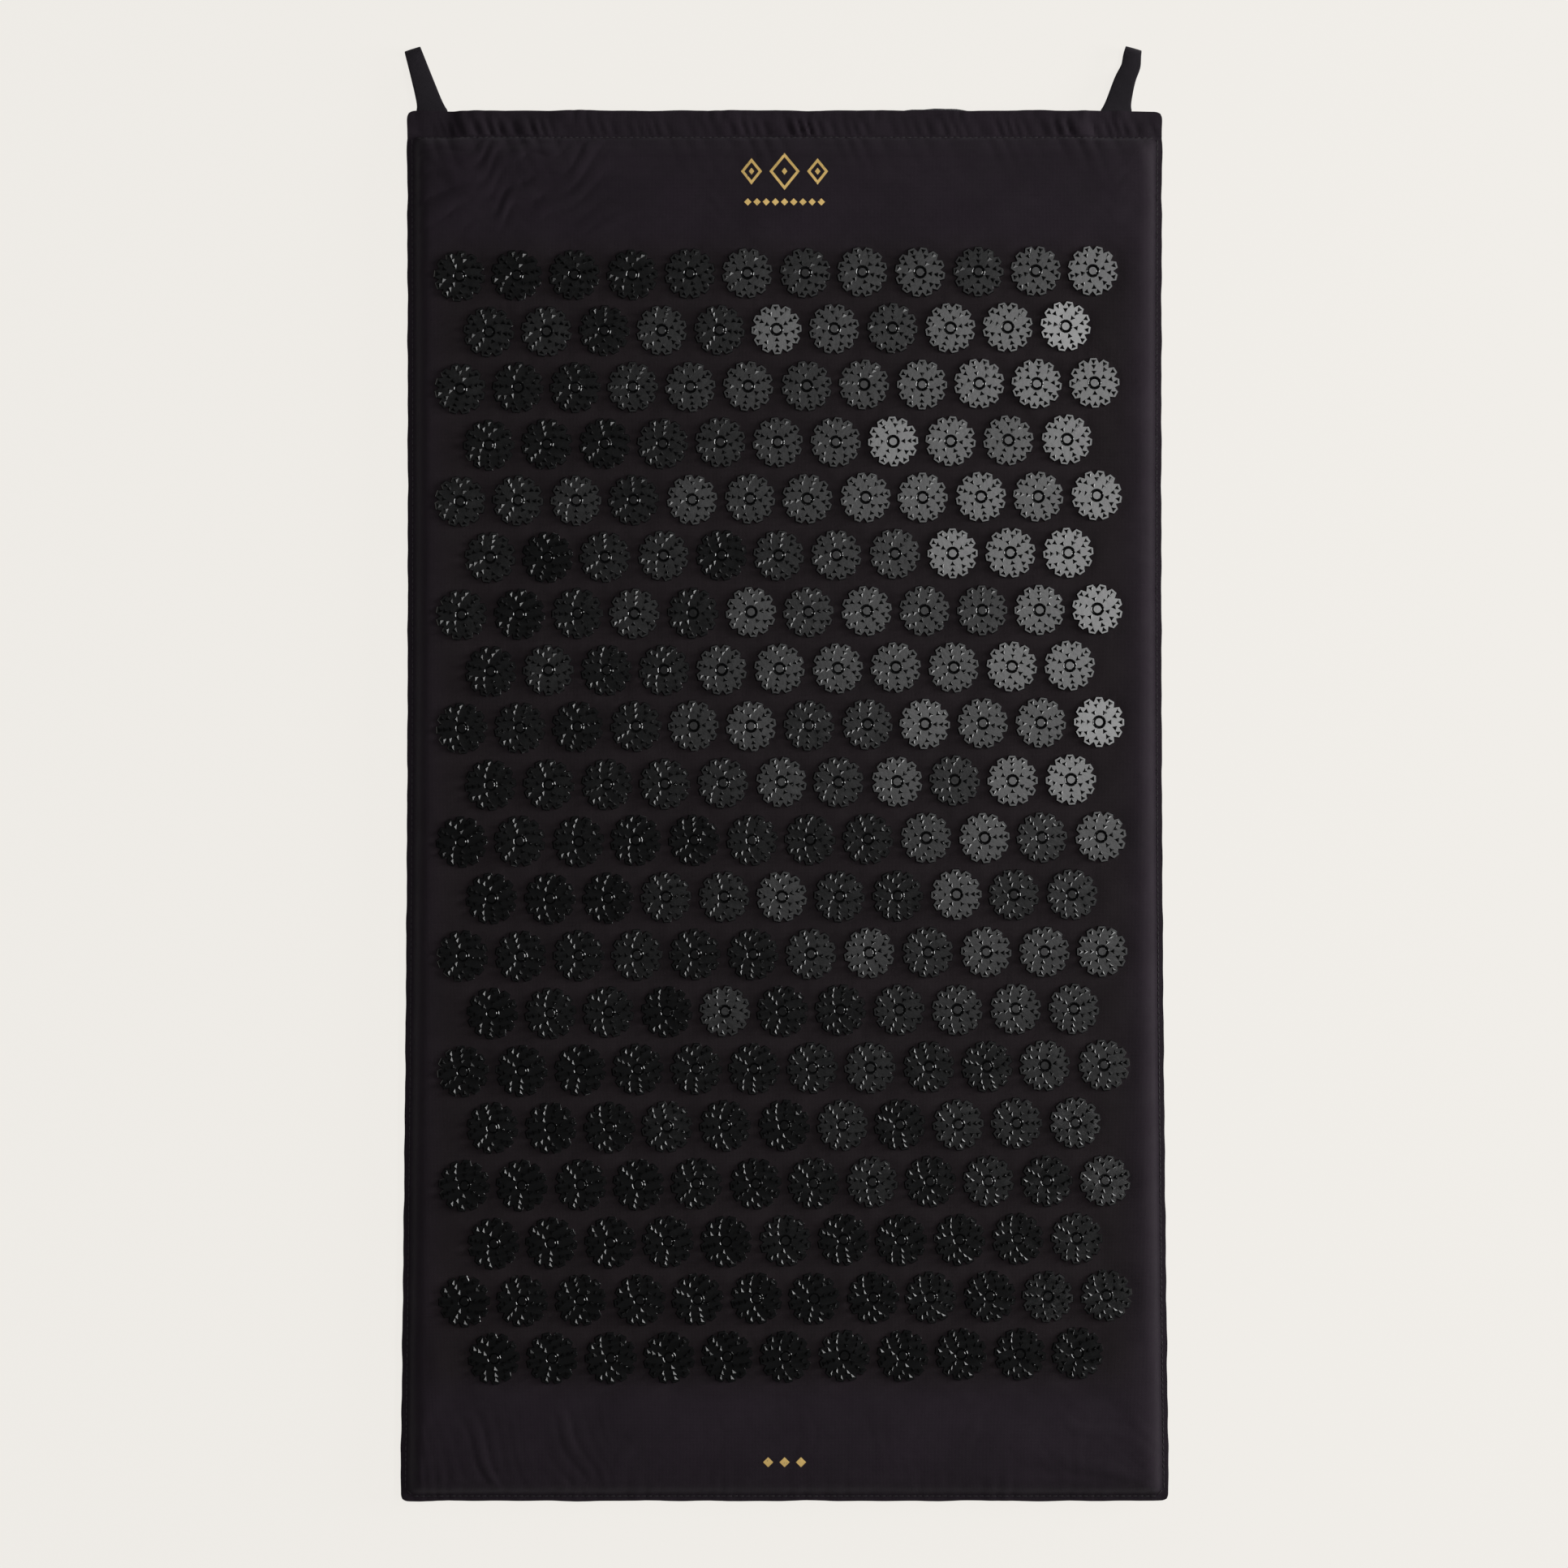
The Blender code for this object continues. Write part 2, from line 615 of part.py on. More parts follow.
def main():
    """Build the whole mat."""
    parts, cutters = start_empty_file()
    cloth = material("black_cloth", (0.015, 0.012, 0.015), 0.9)
    strip = material("black_strip", (0.012, 0.010, 0.013), 0.85)
    foam = material("grey_foam", (0.28, 0.28, 0.29), 0.95)
    hooks = material("hook_and_loop", (0.022, 0.021, 0.024), 0.8)
    plastic = material("black_plastic", (0.012, 0.012, 0.013), 0.25)
    rows = disc_rows()

    cloth_panel("bottom_panel", BOTTOM_FLANGE_FACE, 0, parts, cloth)
    top = cloth_panel("top_panel", TOP_FLANGE_FACE, COVER_TOP, parts, cloth)
    combine(top, mouth_cutter(cutters), "DIFFERENCE")
    combine(top, crown_field(rows[1:], cutters), "UNION")
    foam_pad(parts, foam)
    flap = mouth_flap(parts, cloth)
    hook_tape(flap, parts, hooks)
    loop_tape(parts, hooks)
    hanging_loop("left_hanging_loop", LEFT_LOOP_X, LEFT_LOOP_LEAN, parts, strip)
    hanging_loop("right_hanging_loop", RIGHT_LOOP_X, RIGHT_LOOP_LEAN, parts, strip)
    first_row_discs(rows[0], disc_mesh(cutters, plastic), parts)
    shade_round(parts)


main()
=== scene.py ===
"""Acupressure mat, dressed over its solid model: cloth cover, foam, closure, loops and spiked discs.

X runs across the mat, Y along it towards the hanging loops and Z up. All lengths are in metres.
"""

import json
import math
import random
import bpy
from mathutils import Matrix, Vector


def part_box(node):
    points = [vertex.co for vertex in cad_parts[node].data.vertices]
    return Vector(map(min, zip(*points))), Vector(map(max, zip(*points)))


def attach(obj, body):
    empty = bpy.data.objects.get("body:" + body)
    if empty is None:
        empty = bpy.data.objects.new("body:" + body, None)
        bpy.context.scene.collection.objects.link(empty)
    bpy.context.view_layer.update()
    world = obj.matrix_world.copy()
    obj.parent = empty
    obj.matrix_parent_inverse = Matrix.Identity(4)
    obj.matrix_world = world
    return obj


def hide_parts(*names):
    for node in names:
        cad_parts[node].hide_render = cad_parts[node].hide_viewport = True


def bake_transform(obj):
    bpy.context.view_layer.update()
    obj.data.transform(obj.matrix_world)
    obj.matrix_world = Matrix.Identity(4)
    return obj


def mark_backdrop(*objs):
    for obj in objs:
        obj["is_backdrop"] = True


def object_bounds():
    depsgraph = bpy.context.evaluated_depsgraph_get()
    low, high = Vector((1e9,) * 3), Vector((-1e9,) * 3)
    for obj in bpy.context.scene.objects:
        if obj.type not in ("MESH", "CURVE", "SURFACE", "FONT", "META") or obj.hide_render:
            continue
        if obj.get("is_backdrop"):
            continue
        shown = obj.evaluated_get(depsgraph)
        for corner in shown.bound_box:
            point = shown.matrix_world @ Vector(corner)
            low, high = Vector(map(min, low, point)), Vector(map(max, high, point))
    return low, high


bl_info = {
    "name": "Acupressure Mat",
    "version": (1, 0, 0),
    "blender": (4, 5, 0),
    "location": "View3D > Sidebar > Mat",
    "description": "Makes the soft and detailed pieces of an acupressure mat over its solid model",
    "category": "Object",
}

import bmesh
import bpy
import numpy as np
from bpy.props import FloatProperty, FloatVectorProperty, IntProperty, PointerProperty
from mathutils import Matrix, Vector
from mathutils.bvhtree import BVHTree

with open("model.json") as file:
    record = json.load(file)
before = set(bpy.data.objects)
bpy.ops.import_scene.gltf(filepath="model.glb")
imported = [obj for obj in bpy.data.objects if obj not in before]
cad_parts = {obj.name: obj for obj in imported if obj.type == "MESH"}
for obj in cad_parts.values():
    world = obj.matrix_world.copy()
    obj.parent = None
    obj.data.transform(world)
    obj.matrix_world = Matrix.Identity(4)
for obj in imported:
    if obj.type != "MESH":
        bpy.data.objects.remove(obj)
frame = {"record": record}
SOLID_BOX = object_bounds()

# Places that come from the solid model
PANEL_LOW, PANEL_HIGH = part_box("top_panel")
FOAM_LOW, FOAM_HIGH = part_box("foam_pad")
FLAP_LOW, FLAP_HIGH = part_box("mouth_flap")
HOOK_LOW, HOOK_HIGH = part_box("hook_tape")
PILE_LOW, PILE_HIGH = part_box("loop_tape")
BACK_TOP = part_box("bottom_panel")[1].z
DISC_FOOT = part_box("spike_disc_01")[0].z
HINGES = {joint["name"]: Vector(joint["pos_m"]) for joint in frame["record"]["behaviour"]["joints"]}
TOP_EDGE = PANEL_HIGH.y
MOUTH_HINGE = HINGES["mouth_flap_open"]
FIRST_ROW = [f"spike_disc_{number:02d}" for number in range(1, 13)]

# Name of the map on which a piece of cloth lies flat in metres, as it was cut
CUT_CLOTH = "cut_cloth"


# Settings

def metres(label, description, default, low=0.0):
    """Return a setting for a length."""
    return FloatProperty(name=label, description=description, default=default, min=low, unit="LENGTH")


def degrees(label, description, default):
    """Return a setting for an angle, its default given in degrees."""
    return FloatProperty(
        name=label, description=description, default=math.radians(default), unit="ROTATION")


def watts(label, description, default):
    """Return a setting for a lamp's power."""
    return FloatProperty(name=label, description=description, default=default, min=0, unit="POWER")


def plain(label, description, default):
    """Return a setting for a number without a unit."""
    return FloatProperty(name=label, description=description, default=default, min=0)


def whole(label, description, default):
    """Return a setting for a whole number."""
    return IntProperty(name=label, description=description, default=default, min=0)


def tint(label, description, default):
    """Return a setting for a colour."""
    return FloatVectorProperty(
        name=label, description=description, default=default, min=0, max=1, size=3, subtype="COLOR")


class CoverSettings(bpy.types.PropertyGroup):
    """Sizes and colours of the cloth cover"""

    width: metres("Width", "Width of the cover over its seams", PANEL_HIGH.x - PANEL_LOW.x)
    length: metres("Length", "Length of the cover over its seams", PANEL_HIGH.y - PANEL_LOW.y)
    cloth: metres("Cloth thickness", "Thickness of the cover's cloth", FLAP_HIGH.z - FLAP_LOW.z)
    seam: metres("Seam width", "Width of the flat seam round the sides and the foot", 0.004)
    hem: metres("Hem width", "Width of the hem along the mouth", TOP_EDGE - MOUTH_HINGE.y)
    shoulder: metres("Shoulder width", "Width of the cloth's rise from the seam to the flat middle", 0.009)
    hem_shoulder: metres("Hem shoulder width", "Width of the front cloth's rise from the hem", 0.0135)
    corner: metres("Corner radius", "Radius of the cover's corners seen from above", 0.0035)
    draw_in: metres("Side draw-in", "How far the long sides curve inwards half way along", 0.0018)
    cell: metres("Cell size", "Spacing of the bare cloth's grid before it is subdivided", 0.0026)
    field_cell: metres("Field cell size", "Spacing along the mat of the grid under the discs", 0.0062)
    swell: metres("Swell", "Height to which the cloth swells between the discs", 0.0009)
    fold: metres("Fold height", "Height of the slanting folds in the corners", 0.0026)
    pucker: metres("Pucker height", "Height of the gathers along the hem's stitching", 0.0027)
    groove: metres("Groove depth", "Depth to which the hem's stitching presses the cloth", 0.0010)
    stitch_gap: metres("Stitch gap", "Distance from the hem's fold to its stitching", 0.0015)
    thread_pitch: metres("Thread pitch", "Distance between neighbouring threads of the weave", 0.00055)
    colour: tint("Cloth colour", "Colour of the cover's cotton", (0.0106, 0.0066, 0.0107))
    # The field colour is darker than the cloth colour: painted shade on the cloth between the discs.
    field_shade_colour: tint("Field colour", "Colour of the cloth between the discs", (0.0086, 0.0055, 0.0067))
    loop_colour: tint("Loop colour", "Colour of the hanging loops' strips", (0.0115, 0.0095, 0.0125))
    tape_colour: tint("Tape colour", "Colour of the closure's tapes", (0.022, 0.021, 0.024))
    foam_colour: tint("Foam colour", "Colour of the foam slab", (0.30, 0.30, 0.31))


class DiscSettings(bpy.types.PropertyGroup):
    """Sizes of the spiked discs and of the field they stand in"""

    radius: metres("Radius", "Distance from a disc's middle to its petals' tips", 0.0135)
    notch: metres("Notch radius", "Distance from a disc's middle to the notch between two petals", 0.0112)
    petal_tip: metres("Petal tip width", "Width of a petal's blunt tip", 0.0036)
    petals: whole("Petals", "Number of petals round a disc", 12)
    plate: metres("Plate thickness", "Thickness of a disc's plate", 0.0015)
    rim: metres("Rim bevel", "Width of the bevel round the plate's upper edge", 0.00032)
    spike_height: metres("Spike height", "Height of a spike over the plate", 0.0042)
    spike_root: metres("Spike root radius", "Radius round a spike's three lower corners", 0.00165)
    spike_lean: metres("Spike lean", "How far a spike's tip stands inwards of its root's middle", 0.00025)
    outer_ring: metres("Outer ring", "Radius of the ring of twelve spikes", 0.0114)
    middle_ring: metres("Middle ring", "Radius of the ring of nine spikes", 0.0088)
    inner_ring: metres("Inner ring", "Radius of the ring of six spikes", 0.0056)
    recess: metres("Recess radius", "Radius of the sunk ring in a disc's middle", 0.0036)
    recess_depth: metres("Recess depth", "Depth of the sunk ring", 0.0007)
    lip: metres("Lip height", "Height of the raised lip round the sunk ring", 0.0002)
    boss: metres("Boss radius", "Radius of the boss inside the sunk ring", 0.0023)
    gap: metres("Gap in a row", "Gap between neighbouring discs of a row", 0.0033)
    row_gap: metres("Gap between rows", "Gap between a disc and the row after", 0.0028)
    top_margin: metres("Top margin", "Distance from the top edge to the first row", 0.088)
    bottom_margin: metres("Bottom margin", "Least distance from the foot to the last row", 0.070)
    edge_clearance: metres("Edge clearance", "Clearance between the outer discs and the shoulder", 0.003)
    shift: metres("Sideways shift", "How far the whole field sits off the middle", -0.0018, low=-1.0)
    turn: degrees("Field turn", "How far the whole field is turned", 0.5)
    jitter: metres("Jitter", "How far a disc may stand off its place", 0.0003)
    tilt: degrees("Tilt", "How far a disc commonly leans on the soft foam", 0.72)
    seed: whole("Seed", "Seed of the discs' places", 7)
    lean_seed: whole("Lean seed", "Seed of the discs' leans", 25387)
    colour: tint("Disc colour", "Colour of the discs' plastic", (0.0044, 0.0045, 0.0047))


class LoopSettings(bpy.types.PropertyGroup):
    """Sizes of the hanging loops"""

    length: metres("Length", "Length of a loop from the seam to its tip", 0.035)
    root_width: metres("Root width", "Width of the strip at the seam", 0.014)
    tip_width: metres("Tip width", "Width of the strip at the tip", 0.0088)
    strip: metres("Strip thickness", "Thickness of the folded strip", 0.0012)
    root_radius: metres("Root radius", "Half the gap between the two legs at the seam", 0.0009)
    tip_radius: metres("Tip radius", "Radius of the bend at the tip", 0.0037)
    left_lean: degrees("Left lean", "Sideways lean of the left loop", -18)
    right_lean: degrees("Right lean", "Sideways lean of the right loop", 16)
    turn_share: plain("Turn share", "Share of the loop over which its lean sets in", 0.35)
    tail: metres("Sewn tail", "Length of each leg that is caught in the seam", 0.006)


class StitchSettings(bpy.types.PropertyGroup):
    """Sizes and colour of the sewing"""

    pitch: metres("Pitch", "Distance from one stitch to the next", 0.0032)
    length: metres("Length", "Length of the thread that shows in one stitch", 0.0023)
    thread: metres("Thread radius", "Radius of the thread", 0.00024)
    inset: metres("Inset", "Distance from the cover's edge to its stitching", 0.0026)
    # The thread is a little darker than the cloth, partly its own colour and partly painted shade, so that
    # the hem's stitching reads as a dark line.
    colour: tint("Thread colour", "Colour of the sewing thread", (0.0085, 0.0060, 0.0085))


class MarkSettings(bpy.types.PropertyGroup):
    """Sizes and colour of the printed marks"""

    top_middle: metres("Top mark", "Distance from the top edge to the middle of the top marks", 0.0430)
    top_width: metres("Top width", "Width of the top group of marks", 0.058)
    foot_middle: metres("Foot mark", "Distance from the bottom edge to the foot marks", 0.0215)
    foot_pitch: metres("Foot pitch", "Distance between the foot marks", 0.0085)
    line: metres("Line width", "Width of the lozenges' outlines", 0.0014)
    lift: metres("Ink height", "Height of the ink over the cloth", 0.00012)
    colour: tint("Ink colour", "Colour of the gold ink", (0.62, 0.42, 0.135))


class StageSettings(bpy.types.PropertyGroup):
    """Camera, lamps and floor"""

    lens: plain("Lens", "Focal length in millimetres", 85)
    distance: metres("Camera distance", "Distance from the camera to the point it looks at", 1.954)
    tilt: degrees("Camera tilt", "How far the camera leans from looking straight down", 2.7)
    aim_x: metres("Aim X", "Where the camera looks, across", -0.0003, low=-1.0)
    aim_y: metres("Aim Y", "Where the camera looks, along", 0.0089, low=-1.0)
    strip_power: watts("Strip power", "Power of the long lamp over the right side", 20)
    side_power: watts("Side power", "Power of the low lamp on the right", 56)
    sky: plain("Sky", "Strength of the light from all round", 0.05)
    backdrop: plain("Backdrop", "Brightness of the air beyond the floor's edge", 0.85)
    glow: plain("Glow", "Strength of the soft glow high over the right side", 9.0)
    glow_focus: plain("Glow focus", "How quickly the glow falls off round its middle", 215)
    glow_from: FloatVectorProperty(
        name="Glow direction", description="Where the glow comes from",
        default=(0.152, 0.132, 0.980), size=3, subtype="DIRECTION")
    floor_glow: plain("Floor glow", "Share of the floor's tone that doesn't depend on the lamps", 0.955)
    floor_colour: tint("Floor colour", "Colour of the pale floor", (0.871, 0.847, 0.807))


# Helpers for modelling

def deselect_everything():
    """Leave nothing selected, so that an operator acts on its own piece alone."""
    active = bpy.context.view_layer.objects.active
    if active and active.mode != "OBJECT":
        bpy.ops.object.mode_set(mode="OBJECT")
    bpy.ops.object.select_all(action="DESELECT")


def select_alone(piece):
    """Select one object and make it active."""
    deselect_everything()
    piece.select_set(True)
    bpy.context.view_layer.objects.active = piece


def rename_new(name):
    """Name the object that an operator just added, and its mesh."""
    made = bpy.context.object
    made.name = name
    made.data.name = name
    return made


def apply_place():
    """Put the place of the object just added into its mesh."""
    bpy.ops.object.transform_apply(location=True, rotation=True, scale=True)


def start_editing(piece, kind):
    """Go into edit mode with nothing selected, picking vertices, edges or faces."""
    select_alone(piece)
    bpy.ops.object.mode_set(mode="EDIT")
    bpy.ops.mesh.select_mode(type=kind)
    bpy.ops.mesh.select_all(action="DESELECT")


def stop_editing():
    """Go back to object mode."""
    bpy.ops.object.mode_set(mode="OBJECT")


def pick(piece, kind, test):
    """In edit mode, select exactly the vertices, edges or faces that pass a test."""
    bpy.ops.mesh.select_mode(type=kind)
    bpy.ops.mesh.select_all(action="DESELECT")
    edited = bmesh.from_edit_mesh(piece.data)
    parts = {"VERT": edited.verts, "EDGE": edited.edges, "FACE": edited.faces}[kind]
    for part in parts:
        if test(part):
            part.select_set(True)
    edited.select_flush_mode()
    bmesh.update_edit_mesh(piece.data)


def extrude_by(x, y, z):
    """In edit mode, extrude what is selected and move it."""
    bpy.ops.mesh.extrude_region_move(TRANSFORM_OT_translate={"value": (x, y, z)})


def resize_flat(share, middle):
    """In edit mode, resize what is selected in X and Y about a middle."""
    bpy.ops.transform.resize(value=(share, share, 1), center_override=middle)


def apply_modifier(piece, kind, name, **settings):
    """Add a modifier with the given settings and apply it."""
    select_alone(piece)
    modifier = piece.modifiers.new(name, kind)
    for setting, value in settings.items():
        setattr(modifier, setting, value)
    bpy.ops.object.modifier_apply(modifier=name)


def join_pieces(pieces, name):
    """Join several objects into one."""
    deselect_everything()
    for piece in pieces:
        piece.select_set(True)
    bpy.context.view_layer.objects.active = pieces[0]
    bpy.ops.object.join()
    return rename_new(name)


def placed_copy(master, place):
    """Copy an object with its own mesh, the place put into the mesh."""
    copy = master.copy()
    copy.data = master.data.copy()
    bpy.context.scene.collection.objects.link(copy)
    copy.data.transform(place)
    return copy


def shade_by_angle(piece, angle):
    """Shade a piece smooth, with its edges sharper than an angle in degrees kept."""
    select_alone(piece)
    bpy.ops.object.shade_smooth_by_angle(angle=math.radians(angle))


def vertex_spots(piece):
    """Return a mesh's vertices as an array."""
    spots = np.empty(len(piece.data.vertices) * 3, np.float32)
    piece.data.vertices.foreach_get("co", spots)
    return spots.reshape(-1, 3).astype(float)


def move_vertices(piece, spots):
    """Write an array of places back to a mesh's vertices."""
    piece.data.vertices.foreach_set("co", spots.astype(np.float32).ravel())
    piece.data.update()


def map_flat(piece, flat):
    """Map a piece of cloth by the flat place of each of its vertices."""
    corners = np.empty(len(piece.data.loops), np.int32)
    piece.data.loops.foreach_get("vertex_index", corners)
    piece.data.uv_layers.active.data.foreach_set("uv", flat[corners].astype(np.float32).ravel())


def spaced(start, end, largest):
    """Return even steps from start to end, both included, none wider than the largest."""
    count = max(1, math.ceil(abs(end - start) / largest - 1e-6))
    return [start + (end - start) * step / count for step in range(count + 1)]


def grid_lines(start, *runs):
    """Return grid lines from a start through runs, each given by its end and its largest step."""
    lines = [start]
    for end, largest in runs:
        lines += spaced(lines[-1], end, largest)[1:]
    return lines


def flat_grid(name, across, along):
    """Add a grid with its lines at the given places, mapped as it lies."""
    deselect_everything()
    bpy.ops.mesh.primitive_grid_add(
        x_subdivisions=len(across) - 1, y_subdivisions=len(along) - 1, size=1, location=(0, 0, 0))
    sheet = rename_new(name)
    spots = vertex_spots(sheet)
    for part, lines in enumerate((across, along)):
        numbers = np.rint((spots[:, part] + 0.5) * (len(lines) - 1)).astype(int)
        spots[:, part] = np.array(lines)[numbers]
    move_vertices(sheet, spots)
    sheet.data.uv_layers.active.name = CUT_CLOTH
    map_flat(sheet, spots[:, :2])
    return sheet


def surface_tree(*pieces):
    """Return a search tree over the surfaces of some pieces."""
    spots = []
    faces = []
    for piece in pieces:
        first = len(spots)
        spots += [vertex.co.copy() for vertex in piece.data.vertices]
        faces += [[first + corner for corner in face.vertices] for face in piece.data.polygons]
    return BVHTree.FromPolygons(spots, faces)


def height_on(tree, x, y):
    """Return the height of the surface seen from above at a place."""
    hit = tree.ray_cast(Vector((x, y, 1)), Vector((0, 0, -1)))[0]
    if hit is None:
        raise RuntimeError(f"no cloth under {x:.4f}, {y:.4f}")
    return hit.z


# Helpers for cloth

def waves(values, seed, lengths):
    """Return a smooth irregular curve between about -1 and 1, a sum of waves of the given lengths."""
    generator = random.Random(seed)
    total = np.zeros_like(values)
    for length in lengths:
        phase = generator.uniform(0, 2 * math.pi)
        total += np.sin(2 * math.pi * values / length + phase)
    return total / len(lengths)


def patch(values, middle, spread):
    """Return a soft hump of height 1 about the middle."""
    return np.exp(-(((values - middle) / spread) ** 2))


def ramp(values, start, end):
    """Return 0 before start and 1 after end, with a smooth rise between."""
    share = np.clip((values - start) / (end - start), 0, 1)
    return share * share * (3 - 2 * share)


def gathers(along_seam, seed, spacing):
    """Return rounded ridges of uneven spacing, from 0 in their valleys to 1 on their tops."""
    drift = waves(along_seam, seed, (spacing * 7.3, spacing * 3.9, spacing * 13))
    strength = 0.6 + 0.4 * waves(along_seam, seed + 1, (spacing * 5.1, spacing * 11))
    return np.abs(np.sin(math.pi * along_seam / spacing + 2.4 * drift)) * strength


def folds(x, y, angle, spacing, seed, sway=0.0):
    """Return parallel folds at an angle in degrees: round ridges with narrow creases between.

    Each ridge has a strength of its own and comes and goes along its length.
    """
    direction = math.radians(angle)
    swayed = direction + sway * waves(x, seed + 5, (0.11, 0.17))
    along = x * np.cos(swayed) + y * np.sin(swayed)
    across = -x * np.sin(direction) + y * np.cos(direction)
    across = across + spacing * 0.45 * waves(along, seed, (0.043, 0.071))
    across = across + spacing * 0.3 * waves(x, seed + 2, (0.05,))
    ridge = np.abs(np.sin(math.pi * across / spacing)) ** 0.75
    number = np.floor(across / spacing)
    strength = 0.55 + 0.45 * np.sin(number * 12.9898 + seed) * np.sin(number * 4.1414 + 1.3)
    reach = 0.5 + 0.5 * np.sin(2 * math.pi * along / 0.085 + number * 2.1)
    return (ridge - 0.5) * strength * (0.35 + 0.65 * reach)


def rounded_share(distance, start, width):
    """Return how far the cloth has risen, from 0 at the start to 1 a width further, as a quarter round."""
    share = np.clip((distance - start) / width, 0, 1)
    return np.sqrt(np.clip(1 - (1 - share) ** 2, 0, 1))


def outline_spots(x, y, cover):
    """Round the corners of the flat cut and draw in its sides."""
    half = np.array([cover.width / 2, cover.length / 2])
    square = half - cover.corner
    beyond = np.stack([np.abs(x) - square[0], np.abs(y) - square[1]]) / cover.corner
    inside = np.clip(beyond, 0, 1)
    in_corner = (beyond[0] > 0) & (beyond[1] > 0)
    rounded_x = square[0] + cover.corner * inside[0] * np.sqrt(1 - inside[1] ** 2 / 2)
    rounded_y = square[1] + cover.corner * inside[1] * np.sqrt(1 - inside[0] ** 2 / 2)
    new_x = np.where(in_corner, np.sign(x) * rounded_x, x)
    new_y = np.where(in_corner, np.sign(y) * rounded_y, y)
    return new_x - side_pull(x, y, cover), new_y


def side_pull(x, y, cover):
    """Return how far a place is drawn in with the long sides."""
    return cover.draw_in * np.cos(math.pi * y / cover.length) * 2 * x / cover.width


def edge_distances(x, y, cover):
    """Return the distances from the side edges, the bottom edge and the top edge."""
    return cover.width / 2 - np.abs(x), y + cover.length / 2, cover.length / 2 - y


def risen_from_seam(x, y, cover):
    """Return how far the cloth has risen from the seam round its sides and its foot."""
    side, bottom, _ = edge_distances(x, y, cover)
    return rounded_share(side, cover.seam, cover.shoulder) * rounded_share(bottom, cover.seam, cover.shoulder)


def risen_share(x, y, cover):
    """Return how far the back panel has turned from its seam to its flat face."""
    top = cover.length / 2 - y
    return risen_from_seam(x, y, cover) * rounded_share(top, cover.hem, cover.shoulder)


def front_risen_share(x, y, cover):
    """Return how far the front panel has risen, more gently from the hem than from the seam."""
    from_hem = np.clip((cover.length / 2 - y - cover.hem) / cover.hem_shoulder, 0, 1)
    return risen_from_seam(x, y, cover) * (1 - (1 - from_hem) ** 2.5)


def disc_places(discs, cover):
    """Return the discs row by row as (x, y, turn, lean across, lean along)."""
    generator = random.Random(discs.seed)
    leaning = random.Random(discs.lean_seed)
    most = 2 * discs.tilt
    pitch = 2 * discs.radius + discs.gap
    row_pitch = 2 * discs.radius + discs.row_gap
    edge = cover.seam + cover.shoulder + cover.draw_in + discs.edge_clearance + discs.radius
    across = int((cover.width - 2 * edge) / pitch) + 1
    down = int((cover.length - discs.top_margin - discs.bottom_margin) / row_pitch) + 1
    first_y = cover.length / 2 - discs.top_margin
    middle_y = first_y - row_pitch * (down - 1) / 2
    field = Matrix.Translation((discs.shift, middle_y, 0)) @ Matrix.Rotation(discs.turn, 4, "Z")
    rows = []
    for row in range(down):
        count = across - row % 2
        places = []
        for column in range(count):
            x = pitch * (column - (count - 1) / 2) + generator.uniform(-discs.jitter, discs.jitter)
            y = first_y - middle_y - row_pitch * row + generator.uniform(-discs.jitter, discs.jitter)
            spot = field @ Vector((x, y, 0))
            turn = generator.uniform(0, 2 * math.pi)
            leans = [max(-most, min(most, leaning.gauss(0, discs.tilt))) for _ in "xy"]
            places.append((spot.x, spot.y, turn, *leans))
        rows.append(places)
    return rows


def nearest_discs(x, y, rows):
    """Return the distance from each place to its nearest disc's middle, and that disc's foot height there."""
    nearest = np.full_like(x, 1e9)
    foot = np.zeros_like(x)
    for places in rows:
        for disc_x, disc_y, _, across, along in places:
            reach = np.hypot(x - disc_x, y - disc_y)
            closer = reach < nearest
            nearest = np.where(closer, reach, nearest)
            leaned = -math.tan(across) * (x - disc_x) + math.tan(along) * (y - disc_y)
            foot = np.where(closer, leaned, foot)
    return nearest, DISC_FOOT + foot


# Materials

def feed(tree, socket, given):
    """Link a socket to a node's output, or set it to a plain value."""
    if isinstance(given, bpy.types.NodeSocket):
        tree.links.new(given, socket)
    else:
        socket.default_value = given


def add_node(tree, kind, inputs=None, **settings):
    """Add a shader node with its settings, and feed its inputs by label or number."""
    node = tree.nodes.new(f"ShaderNode{kind}")
    for setting, value in settings.items():
        setattr(node, setting, value)
    for label, given in (inputs or {}).items():
        feed(tree, node.inputs[label], given)
    return node


def maths(tree, operation, *given):
    """Add a Math node fed by outputs or numbers, and return its value."""
    return add_node(tree, "Math", dict(enumerate(given)), operation=operation).outputs[0]


def new_tree_group(name, inputs, outputs):
    """Start a shader node group with named sockets."""
    group = bpy.data.node_groups.new(name, "ShaderNodeTree")
    for label, kind, default in inputs:
        socket = group.interface.new_socket(label, in_out="INPUT", socket_type=f"NodeSocket{kind}")
        if default is not None:
            socket.default_value = default
    for label in outputs:
        group.interface.new_socket(label, in_out="OUTPUT", socket_type="NodeSocketFloat")
    return group, group.nodes.new("NodeGroupInput").outputs, group.nodes.new("NodeGroupOutput").inputs


